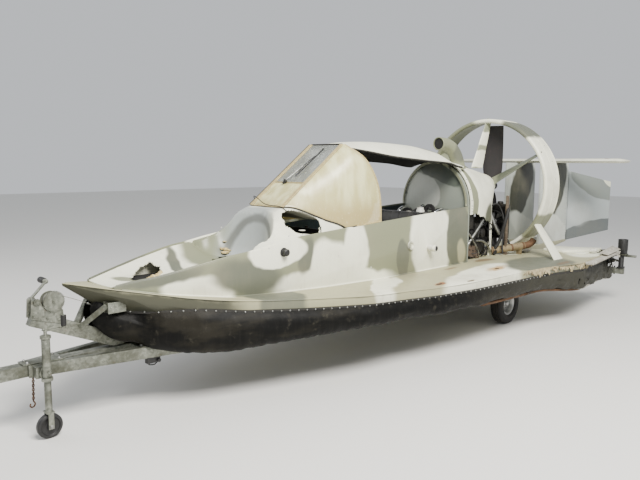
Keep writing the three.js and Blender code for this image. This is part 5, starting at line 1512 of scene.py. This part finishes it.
for line, r in ((((120, 330, 700), (20, 340, 830), (-120, 350, 960), (-250, 340, 1060)), 14),
                (((150, 345, 980), (40, 350, 900), (-60, 352, 800), (-160, 345, 690)), 11),
                (((-420, 340, 660), (-330, 350, 760), (-210, 350, 820), (-90, 345, 830)), 12),
                (((-300, 150, 1120), (-420, 200, 1180), (-520, 240, 1120), (-560, 300, 960),
                (-600, 340, 860)), 22)):
    tubes.tube(line, r, 12, 8)
tubes.make("bay_tubes", bare_steel, angle=60)
brown = Piece()
sheet_grid = [[(140 - i * 16 + k * 3, 348 + rumple((i * 20, k * 20, 0), 60) * 9, 700 + k * 16 - i * 3.5)
    for k in range(9)] for i in range(20)]
brown.shell(sheet_grid, lambda p: (0, -2.5, 0), lambda i, j: rumple((i * 30, j * 30, 0), 45, 4) > -0.35)
brown.make("brown_sheet", brown_sheet, angle=60)
wires = Piece()
for k in range(15):
    x, y, z = random.uniform(-560, 120), random.uniform(255, 370), random.uniform(700, 1060)
    pts = [(x, y, z)]
    for _ in range(4):
        x, y, z = x + random.uniform(-110, 110), min(392, max(250, y + random.uniform(-40, 40))), max(655,
            z + random.uniform(-150, 90))
        pts.append((x, y, z))
    wires.tube(pts, random.choice((3, 4, 6)), 8, 6)
wires.make("loose_wires", rope_finish, angle=60)

# Radiator, its core between side tanks, hanging hoses, and the brown post behind it
rad = Piece()
rad.block(-698, -622, 132, 158, 815, 1195)
rad.block(-698, -622, 372, 398, 815, 1195)
rad.block(-690, -630, 150, 380, 1165, 1200)
rad.block(-690, -630, 150, 380, 812, 838)
rad.block(-690, -670, 140, 165, 640.5, 820)
rad.block(-690, -670, 335, 360, 640.5, 820)
rad.turned([(0, 0), (34, 0), (34, 22), (24, 30), (0, 30)], "z", (-660, 300, 1198), 24)
rad.make("radiator_frame", black_iron, bevel=3, replaces="radiator")
core = Piece()
for k in range(27):
    y = 160 + k * 8.1
    core.block(-684, -636, y, y + 3.6, 836, 1168)
for k in range(40):
    z = 840 + k * 8.2
    core.block(-688, -632, 156, 376, z, z + 1.6)
core.make("radiator_core", black_iron)
fan = Piece()
fan.turned([(118, -3), (126, -3), (126, 34), (118, 34)], "x", (-618, 265, 1000), 40, closed=True)
for k in range(7):
    t = 2 * math.pi * k / 7
    fan.loft([[(-604 + 12 * h, 265 + r * math.cos(t + h * 0.22), 1000 + r * math.sin(t + h * 0.22))
        for h in (-1, 1)] +
              [(-601 + 12 * h, 265 + r * math.cos(t + h * 0.22), 1000 + r * math.sin(t + h * 0.22))
              for h in (1, -1)] for r in (30, 72, 112)])
fan.turned([(0, -8), (34, -8), (36, 20), (20, 30), (0, 32)], "x", (-612, 265, 1000), 24)
for t in (0.5, 2.6, 4.7):
    fan.tube([(-620, 265, 1000), (-622, 265 + 122 * math.cos(t), 1000 + 122 * math.sin(t))], 6, 8)
fan.make("radiator_fan", black_plastic, bevel=1)
low_hoses = Piece()
for line, r in ((((-640, 385, 1150), (-600, 430, 1130), (-560, 420, 1000), (-540, 380, 820),
        (-500, 340, 700)), 19),
                (((-650, 200, 830), (-620, 250, 740), (-540, 330, 690), (-440, 380, 672)), 17),
                (((-700, 420, 700), (-740, 380, 760), (-720, 330, 840), (-705, 300, 900)), 12),
                (((-470, 300, 1190), (-540, 330, 1200), (-590, 360, 1120), (-580, 400, 980),
                (-520, 420, 760), (-500, 440, 668)), 9)):
    low_hoses.tube(line, r, 12, 8)
low_hoses.make("radiator_hoses", hose_rubber, angle=60)
post = Piece()
post.block(-628, -592, 402, 424, 640.5, 1296)
post.block(-640, -580, 396, 430, 640.5, 652)
post.make("brown_post", timber("post brown timber", "5f5243", "3a3026", "z"), bevel=2)

# Exhaust: bands, elbow and the hanger's bolts
bands = Piece()
axis0, axis1 = Vector((-480, 302, DECK + 41)), Vector((-800, 532, 735))
run = (axis1 - axis0).normalized()
for t in (0.04, 0.3, 0.62, 0.96):
    p = axis0.lerp(axis1, t)
    bands.tube([p - run * 9, p + run * 9], 42.5, 28)
bands.tube([axis1 - run * 4, axis1 + run * 40, axis1 + run * 66 + Vector((-20, 10, 18)),
    axis1 + run * 74 + Vector((-46, 16, 52))], [36, 38, 37, 36], 20, 5)
bands.bolt((-762, 500, 706), (-1, 0, 0), 14)
bands.make("exhaust_bands", rust_steel, bevel=0.8)
slab = Piece()
slab.block(-980, -700, 40, 250, 640.5, 662)
slab.plate([(-1120, 300), (-900, 330), (-880, 520), (-1100, 470)], "z", 641, 659)
slab.block(-560, -470, 150, 290, 641, 668)
slab.make("loose_slabs", grey_board, bevel=3)

# Stern: raised pale panels, the flap beside them, a stub of pipe and torn laminate
panels = Piece()
panels.plate([(-1230, 560), (-1560, 560), (-1640, 790), (-1790, 1010), (-1500, 1010), (-1210, 800)], "z",
    640.5, 668)
panels.plate([(-1225, 812), (-1500, 1022), (-1240, 1022)], "z", 640.5, 652)
panels.plate([(-1230, -560), (-1560, -560), (-1640, -790), (-1790, -1010), (-1500, -1010), (-1210, -800)],
    "z", 640.5, 666)
panels.make("stern_panels", plain_paint, bevel=4)
flap = Piece()
for s in (1, -1):
    flap.loft([[(x, s * (y - 3), 648 + d), (x, s * (y + 92), 646 + d * 0.2),
        (x, s * (y + 92), 655 + d * 0.2), (x, s * (y - 3), 657 + d)]
               for x, y, d in ((-1330, 1164, 14), (-1600, 1130, 26), (-1895, 1096, 34))])
flap.make("stern_flaps", grey_board, bevel=2)
stub = Piece().tube([(-1420, 1020, 668), (-1425, 1090, 676)], 22, 24).tube([(-1425, 1088, 676),
    (-1425, 1094, 677)], 15, 20)
stub.make("deck_pipe_stub", white_paint, bevel=1.5)
torn = Piece()
for side_sign, x0, x1 in ((1, 260, -1895), (-1, -900, -1895)):
    grid = [[(x, side_sign * (along(HULL, x, 1) + 2.5 + 7 * ease(k / 8) + rumple((x, k * 20, 0), 40,
        2) * 3), 643 - k * 9 - ease(k / 8) * 6)
             for k in range(10)] for x in span(x0, x1, 9)]
    torn.shell(grid, lambda p, q=side_sign: (0, q * 2.2, 0), lambda i, j, g=grid: j < 4 + rumple(g[i][0],
        60, 5) * 6 + rumple(g[i][0], 18, 6) * 4)
torn_paint = plain("glass fibre laminate torn", ("b3a684", "8f8363", "574b37"), 0.85, 0.08, 26, 5, 2.2,
    dirt="6e6450")
torn.make("torn_deck_edge", torn_paint, angle=70)
mess = Piece()
for k in range(46):
    x, y = random.uniform(-1890, -1560), random.uniform(1040, 1190)
    z, size = random.uniform(520, 655), random.uniform(16, 42)
    tilt = random.uniform(-0.9, 0.9)
    grid = [[(x + (i / 5 - 0.5) * size * 2.6, y + (j / 3 - 0.5) * size + tilt * (i / 5) * 22,
        z + (i / 5 - 0.5) * size * tilt * 1.4 + rumple((k * 31, i * 20, j * 20), 30) * 9)
             for j in range(4)] for i in range(6)]
    mess.shell(grid, lambda p: (0, 1.5, 1.5))
mess.make("torn_stern_strips", skirt_finish, angle=60)
strips = Piece()
for k in range(9):
    x, y, z = random.uniform(-1870, -1640), random.uniform(1120, 1196), random.uniform(600, 668)
    grid = [[(x - i * 17, y + i * 3 + j * 2, z - i * i * 0.5 + rumple((k * 30, i * 16, 0), 40) * 9 + j * 7)
        for j in range(4)] for i in range(9)]
    strips.shell([[(max(p[0], -1935), p[1], p[2]) for p in row] for row in grid], lambda p: (0, 1.8, 0))
strips.make("grey_stern_strips", grey_board, angle=60)
sleeves = Piece()
for s in (1, -1):
    sleeves.turned([(46, 0), (54, 0), (54, 128), (46, 128)], "z", (-1960, s * 1190, 642), 40, closed=True)
    sleeves.block(-2004, -1916, s * 1190 - 40, s * 1190 + 40, 600, 642)
sleeves.make("guide_sleeves", black_plastic, bevel=2)
brackets = Piece()
for s in (1, -1):
    brackets.block(-2012, -1908, s * 1190 - 48, s * 1190 + 48, 586, 599)
    brackets.block(-2030, -1990, min(s * 1090, s * 1325), max(s * 1090, s * 1325), 560, 586)
    brackets.bolt((-1935, s * 1190, 599), (0, 0, 1), 15)
brackets.make("guide_brackets", zinc, bevel=1.5)


# Wheels: a ribbed trailer tyre on a silver rim, with hub, nuts and valve
AXLE_X, WHEEL_Y, WHEEL_RADIUS = -130, 690, 207
TREAD = [
    (110, -40), (122, -54), (140, -60), (160, -61), (176, -60), (188, -56.5), (197, -51), (203, -44),
    (205.5, -36), (205.8, -31), (200, -30), (200, -27), (206.4, -26), (206.8, -12), (200, -11), (200, -8),
    (207, -7), (207, 7), (200, 8), (200, 11), (206.8, 12), (206.4, 26), (200, 27), (200, 30), (205.8, 31),
    (205.5, 36), (203, 44), (197, 51), (188, 56.5), (176, 60), (172, 61.6), (168, 61), (160, 61),
    (140, 60), (136, 61), (132, 59), (122, 54), (110, 40),
]
RIM_RING = [
    (110, -41), (113, -43), (113.5, -39), (109, -36), (98, -33), (92, -12), (92, 12), (98, 33), (109, 36),
    (113.5, 39), (113, 43), (110, 43.5), (105, 42), (95, 36), (87, 14), (87, -12), (95, -36), (105, -42),
]
DISC = [
    (90, 2), (90, -4), (76, -9), (60, -10), (44, -9), (34, -10), (34, 6), (42, 8), (52, 2), (66, -1),
    (78, 0),
]
for side, s in SIDES:
    body, hub = f"wheel_{side}", (AXLE_X, s * WHEEL_Y, WHEEL_RADIUS)
    tyre = Piece().turned([(r, s * a) for r, a in TREAD], "y", hub, 80, closed=True)
    for k in range(56):
        t = 2 * math.pi * k / 56
        for a in (-1, 1):
            tyre.loft([[(hub[0] + r * math.cos(t + d), hub[1] + a * w, hub[2] + r * math.sin(t + d))
                for r, w in
                        ((203, 36), (206.3, 33.5), (200, 50.5), (190, 56.5), (187, 55))] for d in (-0.022,
                        0.022)])
    tyre.make(f"tyre_tread_{side}", rubber, body, replaces=f"tyre_{side}", angle=35)
    disc = (hub[0], hub[1] - s * 8, hub[2])
    rim = Piece().turned([(r, s * a) for r, a in RIM_RING], "y", hub, 72, closed=True)
    rim.turned([(r, s * a) for r, a in DISC], "y", disc, 72, closed=True)
    rim.turned([(0, s * -8), (33.5, s * -8), (33.5, s * 16), (28, s * 20), (25, s * 22), (25, s * 34),
        (19, s * 42), (0, s * 43)], "y", disc, 32)
    rim.make(f"rim_{side}_silver", silver_paint, body, bevel=0.6, replaces=f"rim_{side}", angle=40)
    nuts = Piece()
    for k in range(4):
        t = math.radians(45 + 90 * k)
        nuts.bolt((hub[0] + 52 * math.cos(t), disc[1] + s * 3, hub[2] + 52 * math.sin(t)), (0, s, 0), 21)
    nuts.tube([(hub[0] + 70, disc[1] - s, hub[2] + 24), (hub[0] + 74, disc[1] + s * 26, hub[2] + 28)],
        [5, 4], 12)
    nuts.make(f"wheel_nuts_{side}", bare_steel, body, bevel=0.5)

# Snorkel over the cowl's front: an elbow that looks forward, with a dark tube in its throat that is painted shade
SNORKEL = [
    (356, 150, 1840), (290, 150, 1840), (205, 151, 1828), (125, 157, 1788), (68, 167, 1716),
    (44, 174, 1640), (36, 176, 1585),
]
snorkel = Piece().tube(SNORKEL, [66, 64, 66, 68, 69, 72, 84], 32, 6, caps=False)
mouth = [(67, 356), (67, 362), (64, 365), (58, 363), (57, 340), (57, 300)]
for (r0, x0), (r1, x1) in zip(mouth, mouth[1:]):
    snorkel.loft([[(x, 150 + r * math.cos(t), 1840 + r * math.sin(t)) for t in (2 * math.pi * k / 32
        for k in range(32))]
                  for r, x in ((r0, x0), (r1, x1))], caps=False)
snorkel.make("snorkel_pipe", pipe_paint, replaces="intake_pipe", angle=50)
# dark tube inside the pipe's mouth: painted shade of its hollow
throat = Piece().tube([(352, 150, 1840), (300, 150, 1840), (230, 150, 1832)], [57.5, 57, 54], 28, 3)
throat.make("snorkel_throat_painted_shade", black_lining_and_shade, angle=60)

# Trailer: spring clamps, gussets and bolts, lamps, coupler lever, chain
fastenings, gussets = Piece(), Piece()
for s in (1, -1):
    for x in (AXLE_X - 33, AXLE_X + 33):
        fastenings.tube([(x, s * 547, 274), (x, s * 547, 186), (x, s * 551, 176), (x, s * 575, 174),
            (x, s * 599, 176),
                         (x, s * 603, 186), (x, s * 603, 274)], 5.5, 10)
        for y in (547, 603):
            fastenings.bolt((x, s * y, 266), (0, 0, 1), 18)
    gussets.block(AXLE_X - 52, AXLE_X + 52, min(s * 538, s * 612), max(s * 538, s * 612), 260, 266)
    for x in (-452, 192):
        fastenings.bolt((x, s * 598, 330), (0, s, 0), 17)
        fastenings.bolt((x, s * 552, 330), (0, -s, 0), 17)
    for x in (1600, 300, -1000):
        gussets.plate([(x + 26, s * 549), (x + 120, s * 549), (x + 26, s * 455)], "z", 357, 363)
        gussets.plate([(x - 26, s * 549), (x - 120, s * 549), (x - 26, s * 455)], "z", 357, 363)
        for dx in (48, 88, -48, -88):
            fastenings.bolt((x + dx, s * 535, 357), (0, 0, -1), 15)
        fastenings.bolt((x + 60, s * 601, 394), (0, s, 0), 15)
        fastenings.bolt((x, s * 404, 446), (0, -s, 0), 15)
        fastenings.bolt((x, s * 496, 446), (0, s, 0), 15)
    for x in (3500, 2600, 1900):
        y = 40 + (4390 - x) * 535 / 2590
        fastenings.bolt((x, s * (y + 25.6), 392), (0.2, s, 0), 16)
    gussets.plate([(1700, s * 601), (1900, s * 590), (1900, s * 552), (1700, s * 549)], "z", 430.4, 436)
    gussets.block(3652, 3732, min(s * 142, s * 198), max(s * 142, s * 198), 430, 436)
    for x, y in ((1730, 575), (1860, 572), (3668, 170), (3716, 165)):
        fastenings.bolt((x, s * y, 436), (0, 0, 1), 16)
gussets.plate([(4180, -75), (4420, -46), (4420, 46), (4180, 75)], "z", 430, 436)
for x, y in ((4210, 55), (4390, 30), (4210, -55), (4390, -30)):
    fastenings.bolt((x, y, 436), (0, 0, 1), 16)
fastenings.bolt((4830, 43, 405), (0, 1, 0), 17)
fastenings.bolt((4790, 43, 375), (0, 1, 0), 17)
fastenings.bolt((4830, -43, 405), (0, -1, 0), 17)
fastenings.make("trailer_bolts", bare_steel, angle=40)
gussets.make("trailer_gussets", zinc, bevel=1)
lever = Piece()
lever.tube([(4868, 0, 432), (4850, 0, 452), (4810, 0, 462), (4760, 0, 466)], [10, 9, 8, 8], 14, 5)
lever.tube([(4862, -22, 440), (4862, 22, 440)], 7, 12)
lever.block(4756, 4790, -16, 16, 460, 472)
lever.turned([(47, 0), (62, 0), (64, 6), (62, 12), (47, 12)], "z", (4890, 0, 400), 40, closed=True)
lever.make("coupler_lever", zinc, bevel=1)
chain = Piece()
for k in range(13):
    z, turn = 349 - k * 13.2, k % 2
    ring = []
    for i in range(17):
        t = 2 * math.pi * i / 16
        a, b = 6.5 * math.sin(t), 10.5 * math.cos(t)
        ring.append((4350 + (a if turn else 0) + k * 0.4, 0 if turn else a, z + b))
    chain.tube(ring, 2.6, 8, caps=False)
chain.tube([(4350, 0, 371), (4350, 0, 357)], 5, 10)
chain.tube([(4354, 0, 184), (4346, 0, 168), (4352, 0, 152), (4366, 0, 148), (4376, 0, 158), (4372, 0, 172)],
    4.5, 10, 4)
chain.make("safety_chain", rust_steel, angle=60)
lamps, lenses = Piece(), Piece()
for s in (1, -1):
    lamps.block(-2004, -1985.5, s * 1130 - 62, s * 1130 + 62, 366, 424)
    lamps.block(-2010, -1985.5, s * 1130 - 40, s * 1130 - 28, 340, 440)
    lenses.block(-2016, -2004, s * 1130 - 56, s * 1130 + 56, 371, 419)
lamps.block(3606, 3700, 175, 214, 316, 356)
lamps.rod((3620, 214, 330), (3620, 226, 330), 13, 16)
lamps.tube([(3620, 195, 316), (3640, 196, 300), (3680, 197, 306), (3700, 198, 330)], 4, 8, 4)
lamps.make("lamp_housings", black_plastic, bevel=2)
red_lens = plain("acrylic lamp red", ("6e1210", "86201a"), 0.25, 0.1, 18, 3, 0.5)
lenses.make("lamp_lenses", red_lens, bevel=2)

# Winch: toothed wheels, strap on the drum and out to the bow eye, hook, bow pads
gears = Piece()
for cx, cz, y0, y1, teeth, radius in ((4222, 790, 40.5, 49.5, 44, 62), (4322, 800, 37, 47, 14, 17)):
    gears.turned([(radius * 0.55, y0 + 3), (radius * 0.6, y0), (radius, y0), (radius, y1),
        (radius * 0.6, y1), (radius * 0.55, y1 - 3)], "y", (cx, 0, cz), 56, closed=True)
    for k in range(teeth):
        t = 2 * math.pi * k / teeth
        gears.loft([[(cx + r * math.cos(t + d / r), y, cz + r * math.sin(t + d / r)) for r, d in
                     ((radius - 2, -2.6), (radius + 5, -1.4), (radius + 5, 1.4), (radius - 2, 2.6))]
                     for y in (y0 + 0.5, y1 - 0.5)])
for y in (-30, 36):
    gears.turned([(8, y - 2), (55, y - 2), (57, y), (55, y + 2), (8, y + 2)], "y", (4222, 0, 790), 44,
        closed=True)
gears.bolt((4222, 50, 790), (0, 1, 0), 20)
gears.bolt((4322, 47, 800), (0, 1, 0), 17)
for x, z in ((4190, 665), (4262, 690), (4340, 716)):
    gears.bolt((x, 38.5, z), (0, 1, 0), 16)
    gears.bolt((x, -38.5, z), (0, -1, 0), 16)
gears.make("winch_gears", zinc, angle=40)
strap = Piece()
strap.turned([(30.2, -26), (44, -26), (45, -24), (45, 24), (44, 26), (30.2, 26)], "y", (4222, 0, 790), 44,
    closed=True)
path = [(4230, 834), (4150, 806), (4060, 768), (3978, 728)]
for (x0, z0), (x1, z1) in zip(path, path[1:]):
    strap.loft([[(x, -24, z), (x, 24, z), (x, 24, z + 3), (x, -24, z + 3)]
        for x, z in ((x0, z0), (x1, z1))])
strap.make("winch_strap", strap_web, angle=40)
eye = Piece()
eye.tube([(3992, 0, 738), (3976, 0, 730), (3958, 0, 728), (3946, 0, 716), (3950, 0, 704), (3962, 0, 702)],
    [7, 8, 8, 7, 6, 4], 12, 5)
eye.tube([(3938, -12, 730), (3956, -12, 712), (3956, 12, 712), (3938, 12, 730)], 5, 10, 4)
eye.make("bow_hook", bare_steel, angle=60)
pads = Piece()
for s in (1, -1):
    pads.block(3818, 3939, min(s * 108, s * 111.6), max(s * 108, s * 111.6), 686, 756)
    pads.block(3818, 3939, min(s * 168.4, s * 173), max(s * 168.4, s * 173), 686, 756)
    for x in (3840, 3918):
        pads.bolt((x, s * 173, 722), (0, s, 0), 15)
pads.make("bow_strut_plates", zinc, bevel=1)
Piece().tube([(4223, -84, 899), (4223, -92, 899), (4223, -148, 899), (4223, -158, 899)],
    [17, 19.5, 20.5, 17], 20, 4).make("winch_handle_grip", grip_plastic, "winch_crank")
Piece().turned([(27, 0), (33, 0), (33, 20), (27, 20)], "z", (4330, 170, 352), 32, closed=True).turned(
    [(26, 0), (31, 0), (31, 16), (26, 16)], "z", (4330, 170, 608), 32, closed=True).bolt(
    (4330, 203, 400), (0, 1, 0), 18).bolt((4338, 170, 657), (0, 0, 1), 17).make("jack_collars", zinc,
    "jack_tube", bevel=0.6, angle=40)
Piece().tube([(4220, 170, 664), (4220, 170, 672), (4220, 170, 722), (4220, 170, 730)], [14, 16, 16.5, 14],
    20, 4).make("jack_handle_grip", grip_plastic, "jack_tube")
Piece().bolt((4330, 204.5, 75), (0, 1, 0), 19).bolt((4330, 135.5, 75), (0, -1, 0),
    19).make("jack_axle_nuts", bare_steel, "jack_leg")


# Stage: a pale floor, a studio sky and two soft lights
FLOOR_HALF, SKY_COLOUR, SKY_STRENGTH = 30, (0.93, 0.96, 1.0, 1), 0.72
KEY_POWER, FILL_POWER = 1750, 160


def stage():
    mesh = bpy.data.meshes.new("floor")
    corners = [(a * FLOOR_HALF, b * FLOOR_HALF, 0) for a, b in ((-1, -1), (1, -1), (1, 1), (-1, 1))]
    mesh.from_pydata(corners, [], [(0, 1, 2, 3)])
    floor = bpy.data.objects.new("floor", mesh)
    bpy.context.scene.collection.objects.link(floor)
    ground = Finish("stage floor", 0.9)
    ground.colour("d9d8d4")
    mesh.materials.append(ground.material)
    world = bpy.data.worlds.new("studio")
    bpy.context.scene.world = world
    world.use_nodes = True
    world.node_tree.nodes["Background"].inputs[0].default_value = SKY_COLOUR
    world.node_tree.nodes["Background"].inputs[1].default_value = SKY_STRENGTH


def area_light(name, spot, target, size, power, colour=(1, 1, 1)):
    data = bpy.data.lights.new(name, "AREA")
    data.shape = "RECTANGLE"
    data.size, data.size_y = size
    data.energy = power
    data.color = colour
    light = bpy.data.objects.new(name, data)
    bpy.context.scene.collection.objects.link(light)
    way = Vector(target) - Vector(spot)
    light.matrix_world = Matrix.Translation(spot) @ way.to_track_quat("-Z", "Y").to_matrix().to_4x4()


stage()
area_light("key", (3, 5.5, 7), (0, 0, 0.8), (4, 3), KEY_POWER, (1, 0.97, 0.92))
area_light("fill", (6, -5, 4), (0, 0, 0.8), (4, 4), FILL_POWER)
